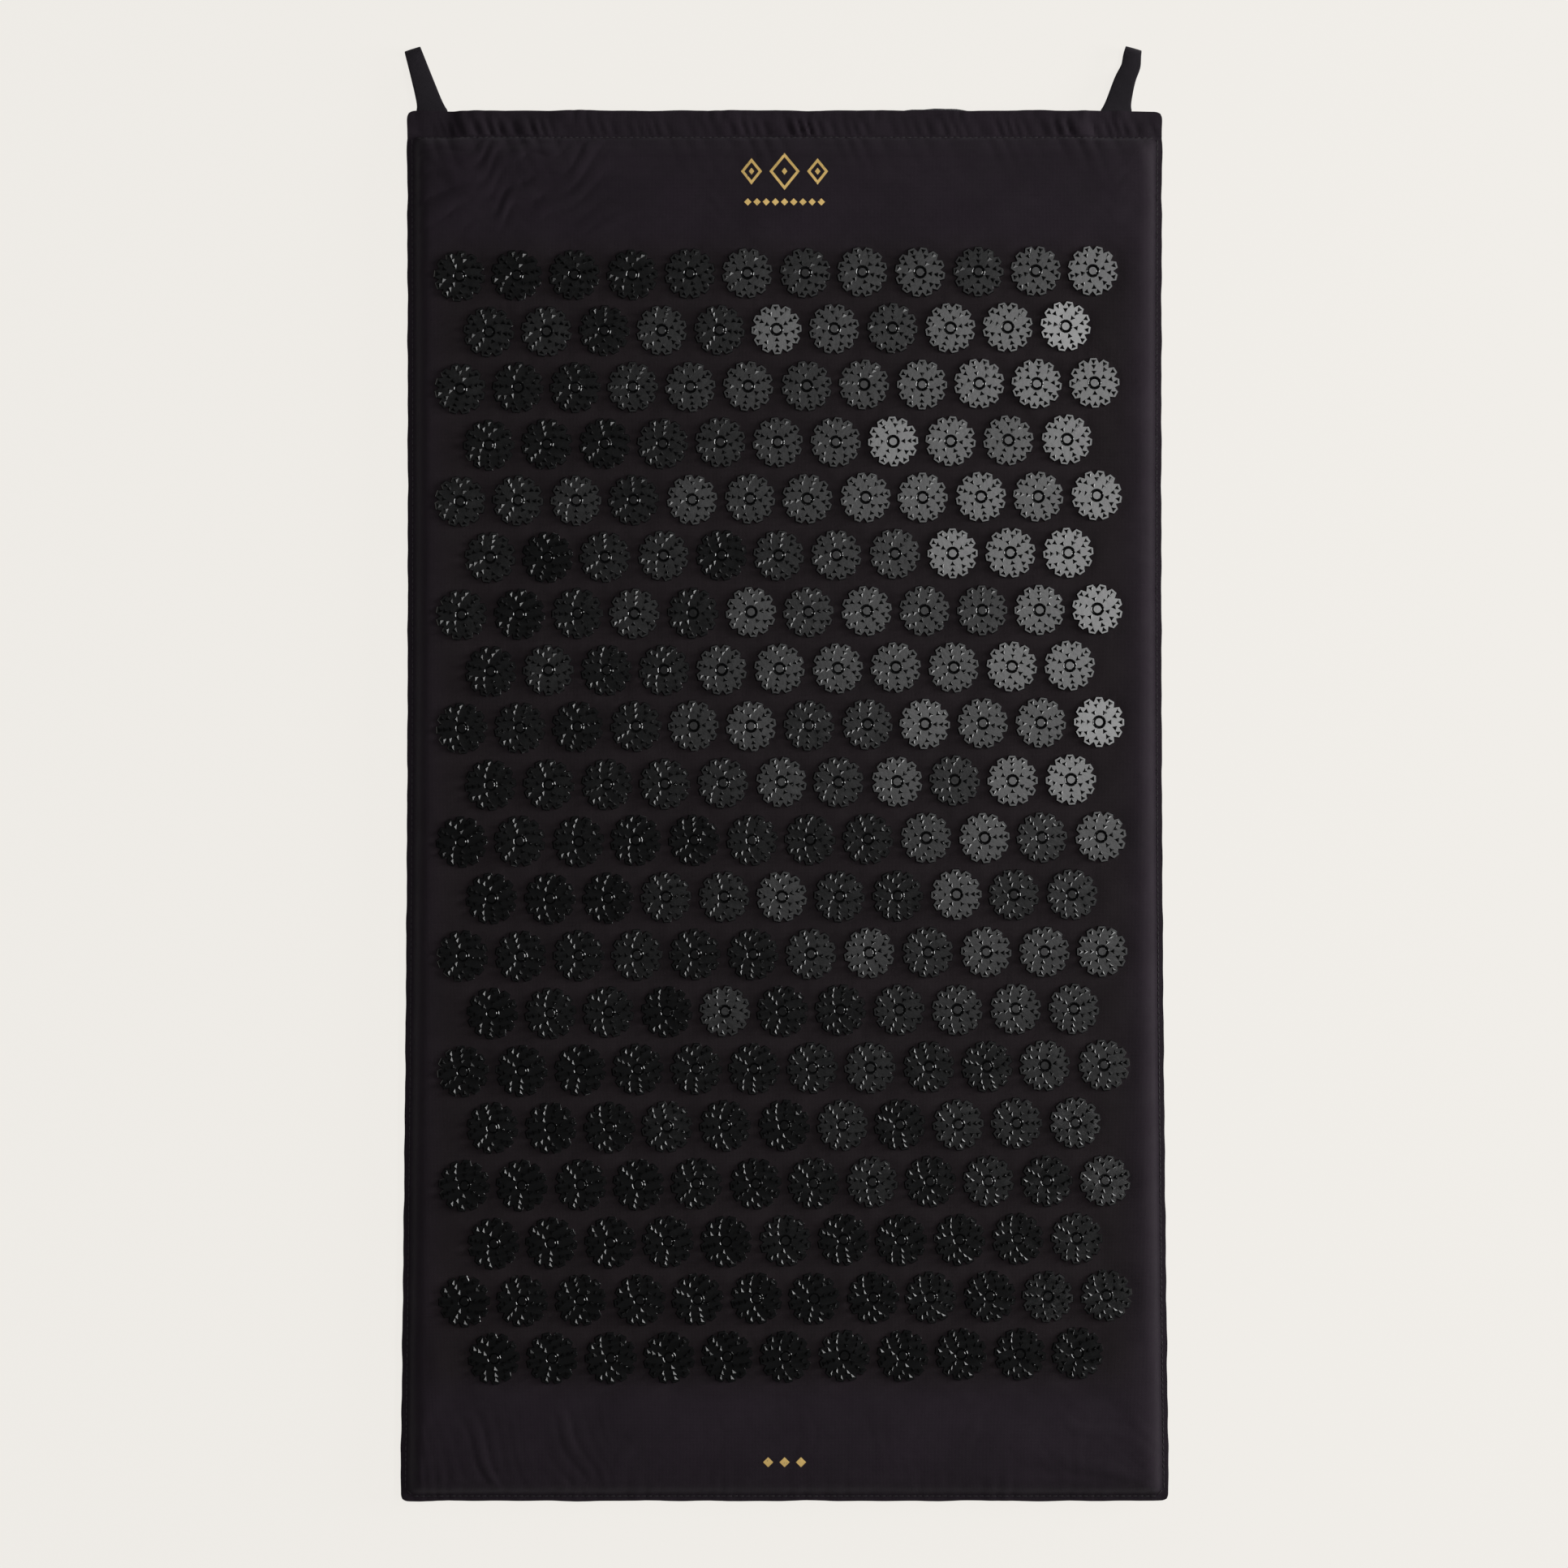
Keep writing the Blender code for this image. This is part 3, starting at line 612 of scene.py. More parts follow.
def weave_group():
    """Build the group for plain weave: threads that pass over and under each other."""
    group, given, out = new_tree_group(
        "plain_weave", [("Vector", "Vector", None), ("Pitch", "Float", 0.0005)], ["Height", "Gap"])
    parts = add_node(group, "SeparateXYZ", {0: given["Vector"]})
    sines = []
    for axis in "XY":
        share = maths(group, "DIVIDE", parts.outputs[axis], given["Pitch"])
        sines.append(maths(group, "SINE", maths(group, "MULTIPLY", share, math.pi)))
    warp, weft = [maths(group, "ABSOLUTE", sine) for sine in sines]
    over = maths(group, "GREATER_THAN", maths(group, "MULTIPLY", *sines), 0)
    warp_over = maths(group, "MULTIPLY", warp, maths(group, "MULTIPLY_ADD", weft, 0.5, 0.5))
    weft_over = maths(group, "MULTIPLY", weft, maths(group, "MULTIPLY_ADD", warp, 0.5, 0.5))
    chosen = add_node(group, "Mix", {"Factor": over, "A": weft_over, "B": warp_over})
    feed(group, out["Height"], chosen.outputs["Result"])
    feed(group, out["Gap"], maths(group, "SUBTRACT", 1.0, maths(group, "MAXIMUM", warp, weft)))
    return group


def mottle_group():
    """Build the group for soft unevenness in two sizes, between a low and a high value."""
    group, given, out = new_tree_group(
        "mottle",
        [("Vector", "Vector", None), ("Scale", "Float", 20.0), ("Low", "Float", 0.0), ("High", "Float", 1.0)],
        ["Value"])
    finer = maths(group, "MULTIPLY", given["Scale"], 9)
    broad = add_node(group, "TexNoise", {"Vector": given["Vector"], "Scale": given["Scale"]})
    fine = add_node(group, "TexNoise", {"Vector": given["Vector"], "Scale": finer})
    mixed = maths(group, "ADD", maths(group, "MULTIPLY", broad.outputs["Fac"], 0.65),
                  maths(group, "MULTIPLY", fine.outputs["Fac"], 0.35))
    spread = add_node(group, "MapRange", {
        "Value": mixed, "From Min": 0.3, "From Max": 0.7, "To Min": given["Low"], "To Max": given["High"]})
    feed(group, out["Value"], spread.outputs["Result"])
    return group


class Surface:
    """A material under construction: its tree, its Principled shader and its texture places."""

    def __init__(self, name, colour, roughness, uv_map=None):
        self.material = bpy.data.materials.new(name)
        self.material.use_nodes = True
        self.tree = self.material.node_tree
        self.shader = self.tree.nodes["Principled BSDF"]
        self.normal = None
        if uv_map:
            self.places = self.node("UVMap", uv_map=uv_map).outputs["UV"]
        else:
            self.places = self.node("TexCoord").outputs["Object"]
        self.feed("Base Color", (*colour, 1))
        self.feed("Roughness", roughness)

    def feed(self, label, given):
        """Set a socket of the shader, or link a varying value to it."""
        feed(self.tree, self.shader.inputs[label], given)

    def node(self, kind, inputs=None, **settings):
        """Add a node to the material."""
        return add_node(self.tree, kind, inputs, **settings)

    def maths(self, operation, *given):
        """Add a Math node to the material and return its value."""
        return maths(self.tree, operation, *given)

    def texture(self, kind, output, scale, inputs=None, **settings):
        """Add a texture on the surface's places and return one of its outputs."""
        fed = {"Vector": self.places, "Scale": scale, **(inputs or {})}
        return self.node(f"Tex{kind}", fed, **settings).outputs[output]

    def shared(self, name, build, inputs):
        """Add a node group on the surface's places, built on first use, and return its outputs."""
        tree = bpy.data.node_groups.get(name) or build()
        return self.node("Group", {"Vector": self.places, **inputs}, node_tree=tree).outputs

    def mottle(self, scale, low=0.0, high=1.0):
        """Return a soft uneven value between low and high."""
        return self.shared("mottle", mottle_group, {"Scale": scale, "Low": low, "High": high})["Value"]

    def weave(self, pitch):
        """Return the height and the gaps of a plain weave."""
        woven = self.shared("plain_weave", weave_group, {"Pitch": pitch})
        return woven["Height"], woven["Gap"]

    def mix(self, share, first, second):
        """Return a colour mixed from two by a share.

        The node's colour sockets share their names with others of it, so they go by number.
        """
        return self.node("Mix", {"Factor": share, 6: first, 7: second}, data_type="RGBA").outputs[2]

    def dye_and_shade(self, share, colour, first, second):
        """Return a colour mixed by a share from two of its own tones, each given as a factor."""
        return self.mix(share, toned(colour, first), toned(colour, second))

    def bump(self, height, distance, strength=1.0):
        """Add a bump on top of those before it."""
        inputs = {"Height": height, "Distance": distance, "Strength": strength}
        if self.normal is not None:
            inputs["Normal"] = self.normal
        self.normal = self.node("Bump", inputs).outputs["Normal"]
        self.feed("Normal", self.normal)

    def within(self, axis, start, end, softness):
        """Return 1 between two places on an axis and 0 beyond them, with soft borders."""
        parts = self.node("SeparateXYZ", {0: self.node("TexCoord").outputs["Object"]})
        off_middle = self.maths("SUBTRACT", parts.outputs[axis], (start + end) / 2)
        inside = self.maths("SUBTRACT", (end - start) / 2, self.maths("ABSOLUTE", off_middle))
        spread = self.node("MapRange", interpolation_type="SMOOTHSTEP", inputs={
            "Value": inside, "From Min": -softness, "From Max": softness})
        return spread.outputs["Result"]


def toned(colour, factor):
    """Return an opaque colour made lighter or darker."""
    return (*(min(1.0, channel * factor) for channel in colour), 1)


def woven_cotton(name, colour, pitch, field=None):
    """Return matte black cotton with its weave, painted shade in the weave's gaps, faint fuzz and uneven
    dyeing, made once for each name.

    A field is a darker colour painted as shade on the ground between the discs, with the low and the high
    corner of that ground.
    """
    known = bpy.data.materials.get(name)
    if known:
        return known
    cloth = Surface(name, colour, roughness=0.9, uv_map=CUT_CLOTH)
    height, gap = cloth.weave(pitch)
    uneven = cloth.mottle(26)
    dyed_and_shaded = cloth.dye_and_shade(uneven, colour, 0.80, 1.22)
    # Painted shade: between the discs the cloth takes the darker field colour.
    if field:
        field_shade_colour, low, high = field
        across = cloth.within("X", low[0], high[0], softness=0.012)
        along = cloth.within("Y", low[1], high[1], softness=0.012)
        field_shaded = cloth.dye_and_shade(uneven, field_shade_colour, 0.80, 1.22)
        dyed_and_shaded = cloth.mix(cloth.maths("MULTIPLY", across, along), dyed_and_shaded, field_shaded)
    # Painted shade: the weave's gaps are darkened towards a deeper tone of the cloth.
    cloth.feed("Base Color", cloth.mix(cloth.maths("MULTIPLY", gap, 0.6), dyed_and_shaded, toned(colour, 0.45)))
    cloth.feed("Roughness", cloth.mottle(60, 0.84, 0.96))
    cloth.feed("Sheen Weight", 0.06)
    cloth.feed("Sheen Roughness", 0.5)
    cloth.feed("Sheen Tint", (0.75, 0.68, 0.78, 1))
    cloth.feed("Specular IOR Level", 0.2)
    cloth.bump(cloth.mottle(260), distance=0.00010, strength=0.5)
    cloth.bump(height, distance=0.00012, strength=0.6)
    return cloth.material


def cover_cotton(cover):
    """Return the cover's cotton."""
    return woven_cotton("cover_cotton", cover.colour, cover.thread_pitch)


def front_cotton(cover, rows, radius):
    """Return the front panel's cotton, with painted shade making it a little darker between the discs."""
    places = np.array([place[:2] for row in rows for place in row])
    low = [float(least) - radius for least in places.min(axis=0)]
    high = [float(most) + radius for most in places.max(axis=0)]
    return woven_cotton("front_cotton", cover.colour, cover.thread_pitch, (cover.field_shade_colour, low, high))


def pored_foam(colour):
    """Return open-cell foam with its pores darkened by painted shade, and a slightly uneven tone."""
    foam = Surface("open_cell_foam", colour, roughness=0.95)
    pores = foam.texture("Voronoi", "Distance", scale=900)
    depth = foam.maths("MINIMUM", foam.maths("MULTIPLY", pores, 1.8), 1)
    aged = foam.dye_and_shade(foam.mottle(9), colour, 0.85, 1.1)
    # Painted shade: the colour darkens into each pore.
    foam.feed("Base Color", foam.mix(depth, toned(colour, 0.35), aged))
    foam.bump(depth, distance=0.0005, strength=0.7)
    return foam.material


def hook_nylon(colour):
    """Return the ribbed nylon ground of the hook tape, its gaps darkened with painted shade and its threads
    lightened with painted light.
    """
    nylon = Surface("hook_nylon", colour, roughness=0.5)
    height, gap = nylon.weave(pitch=0.0009)
    # Painted shade in the gaps between the threads, painted light on the threads' tops.
    nylon.feed("Base Color", nylon.dye_and_shade(gap, colour, 1.2, 0.4))
    nylon.feed("Roughness", nylon.mottle(120, 0.4, 0.6))
    nylon.bump(height, distance=0.0002, strength=0.8)
    return nylon.material


def brushed_pile(colour):
    """Return the fuzzy brushed face of the loop tape, with painted shade in its hollows and painted light on
    its tufts.
    """
    pile = Surface("brushed_pile", colour, roughness=0.9)
    tangle = pile.texture("Noise", "Fac", scale=1500, inputs={"Detail": 6, "Distortion": 1.6})
    # Painted shade and light: the colour follows the pile's bump, darker in its hollows and lighter on its
    # tufts.
    pile.feed("Base Color", pile.dye_and_shade(tangle, colour, 0.5, 1.6))
    pile.feed("Sheen Weight", 0.1)
    pile.bump(tangle, distance=0.0005)
    return pile.material


def moulded_plastic(colour):
    """Return glossy black moulded plastic with uneven gloss and a faintly uneven face."""
    plastic = Surface("moulded_disc_plastic", colour, roughness=0.1)
    plastic.feed("Base Color", plastic.dye_and_shade(plastic.mottle(40), colour, 0.85, 1.2))
    plastic.feed("Roughness", plastic.mottle(150, 0.06, 0.14))
    plastic.bump(plastic.mottle(60), distance=0.00002, strength=0.5)
    return plastic.material


def gold_ink(colour, cloth_colour, pitch):
    """Return gold screen ink that sinks into the weave and has worn away in specks."""
    ink = Surface("gold_ink", colour, roughness=0.5)
    height, _ = ink.weave(pitch)
    specks = ink.texture("Noise", "Fac", scale=900, inputs={"Detail": 3})
    worn = ink.maths("GREATER_THAN", specks, 0.68)
    printed = ink.dye_and_shade(ink.mottle(25), colour, 0.9, 1.08)
    ink.feed("Base Color", ink.mix(worn, printed, toned(cloth_colour, 3)))
    ink.feed("Roughness", ink.mottle(200, 0.42, 0.6))
    ink.feed("Metallic", 0.25)
    ink.bump(height, distance=0.00008, strength=0.5)
    return ink.material


def twisted_thread(colour):
    """Return sewing thread with its twist, with painted shade in the twist's grooves and painted light on its
    ridges.
    """
    thread = Surface("sewing_thread", colour, roughness=0.7)
    twist = thread.texture("Wave", "Fac", scale=900, bands_direction="DIAGONAL")
    # Painted shade and light: the colour follows the twist's bump, darker in its grooves and lighter on its
    # ridges.
    thread.feed("Base Color", thread.dye_and_shade(twist, colour, 0.6, 1.3))
    thread.bump(twist, distance=0.00008, strength=0.6)
    return thread.material


def dress(piece, material):
    """Give a piece one material."""
    piece.data.materials.clear()
    piece.data.materials.append(material)


# The cover's cloth

def corner_folds(x, y, cover):
    """Return the slanting folds at the top left and lower right, and the upright ones at the lower left."""
    top = cover.length / 2
    top_left = ramp(-x, 0.060, 0.110) * ramp(y, top - 0.074, top - 0.055)
    head = ramp(y, top - 0.074, top - 0.050)
    foot = 1 - ramp(y, -top + 0.034, -top + 0.058)
    foot_left = (patch(x, -0.157, 0.016) + patch(x, -0.107, 0.014) + 0.4 * patch(x, -0.188, 0.008)) * foot
    foot_right = ramp(x, 0.120, 0.165) * foot
    total = 0.85 * folds(x, y, angle=35, spacing=0.0098, seed=3, sway=0.10) * top_left
    total += 0.13 * folds(x, y, angle=12, spacing=0.0110, seed=31, sway=0.20) * head
    total += 0.60 * folds(x, y, angle=108, spacing=0.0066, seed=11, sway=0.05) * foot_left
    total += 0.13 * folds(x, y, angle=80, spacing=0.0120, seed=23, sway=0.15) * foot
    total += 0.30 * folds(x, y, angle=-28, spacing=0.0090, seed=37) * foot_right
    return cover.fold * total


def broad_sag(x, y, cover):
    """Return the shallow unevenness of cloth over soft foam."""
    across = waves(x + 0.4 * y, seed=41, lengths=(0.09, 0.13, 0.21))
    along = waves(y - 0.3 * x, seed=42, lengths=(0.07, 0.12, 0.19))
    return 0.35 * cover.fold * across * along


def swollen(gap, cover):
    """Return how far the cloth swells at a distance from the discs' rims."""
    return cover.swell * (1 - patch(np.clip(gap, 0, 1), 0, 0.0045))


def seam_gathers(x, y, cover):
    """Return the small gathers that run in from the side and bottom seams."""
    reach = 0.007
    side, bottom, _ = edge_distances(x, y, cover)
    from_side = gathers(y, seed=51, spacing=0.0085) * np.exp(-np.abs(side - cover.seam) / reach)
    from_bottom = gathers(x, seed=53, spacing=0.0095) * np.exp(-np.abs(bottom - cover.seam) / reach)
    return 0.30 * cover.pucker * (from_side + from_bottom)


def hem_stitching(cover):
    """Return where along the mat the hem is stitched."""
    return cover.length / 2 - cover.hem - cover.stitch_gap


def hem_gathers(x, y, cover):
    """Return the gathers that the hem's stitching pulls in, strongest in three stretches."""
    line = hem_stitching(cover)
    edge = line + cover.hem
    slanted = x + 0.35 * (y - line)
    strength = 0.30 + 0.70 * patch(x, -0.148, 0.038) + 0.55 * patch(x, 0.005, 0.042)
    strength += 0.60 * patch(x, 0.148, 0.042)
    in_hem = ramp(y, line, line + 0.0025) * (1 - ramp(y, line + 0.005, edge))
    near_edge = ramp(y, line + 0.004, edge) * (0.5 + 0.5 * waves(x, seed=67, lengths=(0.041, 0.067)))
    below = np.exp(-np.clip(line - y, 0, 1) / 0.009) * (1 - ramp(y, line - 0.0015, line))
    total = gathers(slanted, seed=61, spacing=0.0070) * in_hem
    total += 0.6 * gathers(x, seed=65, spacing=0.0083) * near_edge
    total += 0.8 * gathers(slanted, seed=63, spacing=0.0110) * below
    return cover.pucker * strength * total


def stitch_groove(y, cover):
    """Return the groove that the hem's stitching presses."""
    return -cover.groove * patch(y, hem_stitching(cover), 0.0013)


def loop_bulges(x, y, loops):
    """Return the rise of the seam over the sewn-in ends of the two loops."""
    over_tails = 0.9 * loops.strip * ramp(y, TOP_EDGE - 2.2 * loops.tail, TOP_EDGE - 0.002)
    roots = (HINGES["left_loop_swing"].x, HINGES["right_loop_swing"].x)
    return over_tails * sum(patch(x, root, loops.root_width * 0.62) for root in roots)


def front_seam_height(x, y, cover):
    """Return the height of the front panel's seam, raised along the mouth by the closure's tapes."""
    low = PILE_LOW.z + cover.cloth
    hinge = cover.length / 2 - cover.hem
    in_mouth = ramp(x, FLAP_LOW.x - 0.002, FLAP_LOW.x + 0.004)
    in_mouth -= ramp(x, FLAP_HIGH.x - 0.004, FLAP_HIGH.x + 0.002)
    return low + (FLAP_HIGH.z - low) * in_mouth * ramp(y, hinge - cover.shoulder, hinge)


def lines_across(cover, *middle):
    """Return a panel's grid lines across, the middle's runs between the rises from its two side seams."""
    half = cover.width / 2
    seam_step = cover.seam / 2
    rise_step = cover.shoulder / 4
    return grid_lines(
        -half, (-half + cover.seam, seam_step), (-half + cover.seam + cover.shoulder, rise_step),
        *middle, (half - cover.seam, rise_step), (half, seam_step))


def lines_along(cover, hem_rows, *middle):
    """Return a panel's grid lines along, the middle's runs between the rises from its foot and its hem."""
    foot = -cover.length / 2
    hinge = cover.length / 2 - cover.hem
    rise_step = cover.shoulder / 4
    return grid_lines(
        foot, (foot + cover.seam, cover.seam / 2), (foot + cover.seam + cover.shoulder, rise_step),
        *middle, (hinge, rise_step), (cover.length / 2, cover.hem / hem_rows))


def front_lines(cover, rows, radius):
    """Return the front panel's grid lines across and along, further apart in the disc field."""
    cell = cover.cell
    crest = cover.width / 2 - cover.seam - cover.shoulder
    hem_foot = cover.length / 2 - cover.hem - cover.hem_shoulder
    field_foot = min(place[1] for place in rows[-1]) - radius
    field_head = max(place[1] for place in rows[0]) + radius
    across = lines_across(cover, (FLAP_LOW.x, cell), (FLAP_HIGH.x, cell), (crest, cell))
    along = lines_along(cover, 6, (field_foot, cell), (field_head, cover.field_cell), (hem_foot, cell))
    return across, along


def back_lines(cover):
    """Return the back panel's grid lines across and along."""
    cell = 2 * cover.cell
    crest = cover.width / 2 - cover.seam - cover.shoulder
    hem_foot = cover.length / 2 - cover.hem - cover.shoulder
    return lines_across(cover, (crest, cell)), lines_along(cover, 4, (hem_foot, cell))


def held_weights(x, y, nearest, discs, cover):
    """Return 1 where the cloth is sewn down or lies under a disc, and 0 where it is free."""
    side, bottom, top = edge_distances(x, y, cover)
    sewn = (side < cover.seam * 1.05) | (bottom < cover.seam * 1.05) | (top < cover.hem * 1.02)
    return np.where(sewn | (nearest < discs.radius * 0.93), 1.0, 0.0)


def loose_weights(x, y, cover):
    """Return where the cloth was cut too big, most of all in the two left corners."""
    top = cover.length / 2
    upper = ramp(-x, 0.040, 0.130) * ramp(y, top - 0.080, top - 0.045)
    lower = ramp(-x, 0.050, 0.120) * (1 - ramp(y, -top + 0.030, -top + 0.056))
    return np.clip(0.30 + 0.7 * upper + 0.6 * lower, 0, 1)


def fill_group(piece, name, weights):
    """Write weights into a vertex group."""
    group = piece.vertex_groups.new(name=name)
    rounded = np.round(weights, 2)
    for weight in np.unique(rounded):
        group.add(np.nonzero(rounded == weight)[0].tolist(), float(weight), "REPLACE")


def run_cloth(piece, frames):
    """Simulate a panel of light cotton that its foam presses outwards, and keep its last frame."""
    select_alone(piece)
    draped = piece.modifiers.new("draped", "CLOTH")
    settings = draped.settings
    settings.quality = 6
    settings.mass = 0.15
    settings.tension_stiffness = 20
    settings.compression_stiffness = 20
    settings.shear_stiffness = 8
    settings.bending_stiffness = 0.08
    settings.vertex_group_mass = "held"
    settings.vertex_group_shrink = "loose"
    settings.shrink_min = 0
    settings.shrink_max = -0.022
    settings.use_pressure = True
    settings.uniform_pressure_force = 0.6
    settings.effector_weights.gravity = 0
    draped.collision_settings.use_collision = False
    draped.point_cache.frame_start = 1
    draped.point_cache.frame_end = frames
    for number in range(1, frames + 1):
        bpy.context.scene.frame_set(number)
    bpy.ops.object.modifier_apply(modifier="draped")
    bpy.context.scene.frame_set(1)


def settle_cloth(piece, held, loose):
    """Let a panel swell and wrinkle, but no point move far, and hardly downwards."""
    farthest = 0.0022
    deepest = 0.0002
    before = vertex_spots(piece)
    fill_group(piece, "held", held)
    fill_group(piece, "loose", loose)
    run_cloth(piece, frames=20)
    moved = vertex_spots(piece) - before
    far = np.linalg.norm(moved, axis=1)
    moved *= np.minimum(1, farthest / np.maximum(far, 1e-9))[:, None]
    moved[:, 2] = np.maximum(moved[:, 2], -deepest)
    move_vertices(piece, before + moved)
    piece.vertex_groups.clear()


def drop_edge(piece, depth):
    """Give an open panel's border a wall as deep as the cloth."""
    start_editing(piece, "EDGE")
    pick(piece, "EDGE", lambda edge: edge.is_boundary)
    extrude_by(0, 0, depth)
    stop_editing()


def refine(panel):
    """Halve the spacing of a panel's grid and round its creases."""
    apply_modifier(
        panel, "SUBSURF", "finer", levels=1, render_levels=1, boundary_smooth="PRESERVE_CORNERS")


def waver_rim(spots, cover):
    """Let the outer 4 mm of a panel run a little unevenly."""
    most = 0.00035
    x, y, _ = spots.T
    rim = np.exp(-np.minimum.reduce(edge_distances(x, y, cover)).clip(0, 1) / 0.004)
    x += most * waves(y, seed=71, lengths=(0.031, 0.052, 0.017)) * rim * np.sign(x)
    y += most * waves(x, seed=73, lengths=(0.027, 0.046, 0.083)) * rim * np.sign(y)


def make_front_panel(cover, discs, loops):
    """Make the front panel with its hem, and the hem's lip as a piece of its own."""
    rows = disc_places(discs, cover)
    front = flat_grid("cover_front", *front_lines(cover, rows, discs.radius))
    raise_front(front, cover, discs, rows)
    refine(front)
    finish_front(front, cover, discs, loops, rows)
    lip = cut_lip(front)
    drop_edge(front, -cover.cloth)
    apply_modifier(lip, "SOLIDIFY", "cloth", thickness=cover.cloth, offset=-1)
    return front, lip


def raise_front(front, cover, discs, rows):
    """Raise the flat front panel from its seam to the discs' feet, and let its cloth settle."""
    x, y, _ = vertex_spots(front).T
    nearest, foot = nearest_discs(x, y, rows)
    seam = front_seam_height(x, y, cover)
    share = front_risen_share(x, y, cover)
    lift = swollen(nearest - discs.radius, cover) + broad_sag(x, y, cover)
    height = seam + (DISC_FOOT - seam) * share + lift * ramp(share, 0.75, 1.0)
    height = np.where(nearest < discs.radius * 0.97, foot, height)
    move_vertices(front, np.stack([*outline_spots(x, y, cover), height], axis=1))
    settle_cloth(front, held_weights(x, y, nearest, discs, cover), loose_weights(x, y, cover))


def finish_front(front, cover, discs, loops, rows):
    """Add the gathers that are finer than the simulated grid, and bed the discs."""
    spots = vertex_spots(front)
    x, y, z = spots.T
    nearest, foot = nearest_discs(x, y, rows)
    away = ramp(nearest, discs.radius, discs.radius + 0.004)
    risen = ramp(front_risen_share(x, y, cover), 0.30, 0.95)
    fine = hem_gathers(x, y, cover) + seam_gathers(x, y, cover) + stitch_groove(y, cover)
    fine += corner_folds(x, y, cover) * risen
    z += fine * away + loop_bulges(x, y, loops)
    bed = discs.radius * 1.02
    bedded = foot + (z - foot) * ramp(nearest, discs.radius * 0.95, bed)
    z[:] = np.where(nearest < bed, bedded, z)
    waver_rim(spots, cover)
    move_vertices(front, spots)


def in_lip(spot):
    """Tell whether a place seen from above is in the lip of the mouth."""
    return spot.y > MOUTH_HINGE.y and FLAP_LOW.x < spot.x < FLAP_HIGH.x


def cut_lip(front):
    """Cut the lip of the mouth off the front panel."""
    start_editing(front, "FACE")
    pick(front, "FACE", lambda face: in_lip(face.calc_center_median()))
    bpy.ops.mesh.separate(type="SELECTED")
    stop_editing()
    lip = next(piece for piece in bpy.context.selected_objects if piece != front)
    lip.name = "mouth_lip"
    lip.data.name = "mouth_lip"
    return lip


def make_back_panel(cover):
    """Make the back panel, which lies on the floor and turns up to the seam."""
    back = flat_grid("cover_back", *back_lines(cover))
    x, y, _ = vertex_spots(back).T
    height = (BACK_TOP - cover.cloth) * (1 - risen_share(x, y, cover))
    move_vertices(back, np.stack([*outline_spots(x, y, cover), height], axis=1))
    refine(back)
    spots = vertex_spots(back)
    x, y, z = spots.T
    z += seam_gathers(x, y, cover) * (1 - risen_share(x, y, cover))
    waver_rim(spots, cover)
    z[:] = np.maximum(z, 0)
    move_vertices(back, spots)
    start_editing(back, "FACE")
    bpy.ops.mesh.select_all(action="SELECT")
    bpy.ops.mesh.flip_normals()
    stop_editing()
    drop_edge(back, cover.cloth)
    return back


# The foam and the closure

def make_foam_slab():
    """Make the foam slab: a block with rounded edges and a slightly uneven skin."""
    deselect_everything()
    middle = (FOAM_LOW + FOAM_HIGH) / 2
    bpy.ops.mesh.primitive_cube_add(size=1, location=middle, scale=FOAM_HIGH - FOAM_LOW)
    foam = rename_new("foam_slab")
    apply_place()
    start_editing(foam, "EDGE")
    bpy.ops.mesh.select_all(action="SELECT")
    bpy.ops.mesh.bevel(offset=0.006, segments=5, affect="EDGES")
    flat_side = 0.001
    pick(foam, "FACE", lambda face: face.calc_area() > flat_side)
    bpy.ops.mesh.subdivide(number_cuts=24)
    stop_editing()
    spots = vertex_spots(foam)
    x, y, z = spots.T
    uneven = 0.5 + 0.5 * waves(x + 0.7 * y, seed=81, lengths=(0.06, 0.11, 0.034))
    z -= np.sign(z - middle.z) * 0.0003 * uneven
    move_vertices(foam, spots)
    return foam


def peeking_share(x):
    """Return where the hook tape peeks out of the mouth, right of the middle."""
    return patch(x, 0.081, 0.026)


def make_hook_strip():
    """Make the hook tape: a ribbed strip whose edge shows at the mouth, with rows of hooks under it."""
    thickness = 0.0004
    inset = 0.001
    peek = 0.0032
    strip = flat_grid(
        "hook_strip", spaced(HOOK_LOW.x, HOOK_HIGH.x, 0.003), spaced(HOOK_LOW.y, HOOK_HIGH.y, 0.0012))
    spots = vertex_spots(strip)
    x, y, z = spots.T
    share = peeking_share(x) * ramp(y, HOOK_LOW.y + 0.003, HOOK_HIGH.y)
    y += share * (peek + 0.0004 * waves(x, seed=91, lengths=(0.021, 0.013)))
    z[:] = HOOK_HIGH.z + 0.0003 * share
    move_vertices(strip, spots)
    apply_modifier(strip, "SOLIDIFY", "tape", thickness=thickness, offset=-1)
    hook = make_hook()
    hooks = []
    for across in spaced(HOOK_LOW.x + inset, HOOK_HIGH.x - inset, 0.0024):
        for along in spaced(HOOK_LOW.y + inset, HOOK_HIGH.y - inset, 0.0018):
            shift = peek * peeking_share(across) * (along - HOOK_LOW.y) / (HOOK_HIGH.y - HOOK_LOW.y)
            place = Matrix.Translation((across, along + shift, HOOK_HIGH.z - thickness))
            hooks.append(placed_copy(hook, place))
    bpy.data.objects.remove(hook)
    return join_pieces([strip, *hooks], "hook_strip")


def make_hook():
    """Model one small hook, hanging down with its tip bent over."""
    stem = 0.00028
    deselect_everything()
    bpy.ops.mesh.primitive_cylinder_add(vertices=4, radius=0.00016, depth=stem, location=(0, 0, -stem / 2))
    hook = rename_new("hook")
    apply_place()
    start_editing(hook, "FACE")
    pick(hook, "FACE", lambda face: face.normal.z < -0.5)
    extrude_by(0.00022, 0, -0.0001)
    stop_editing()
    return hook


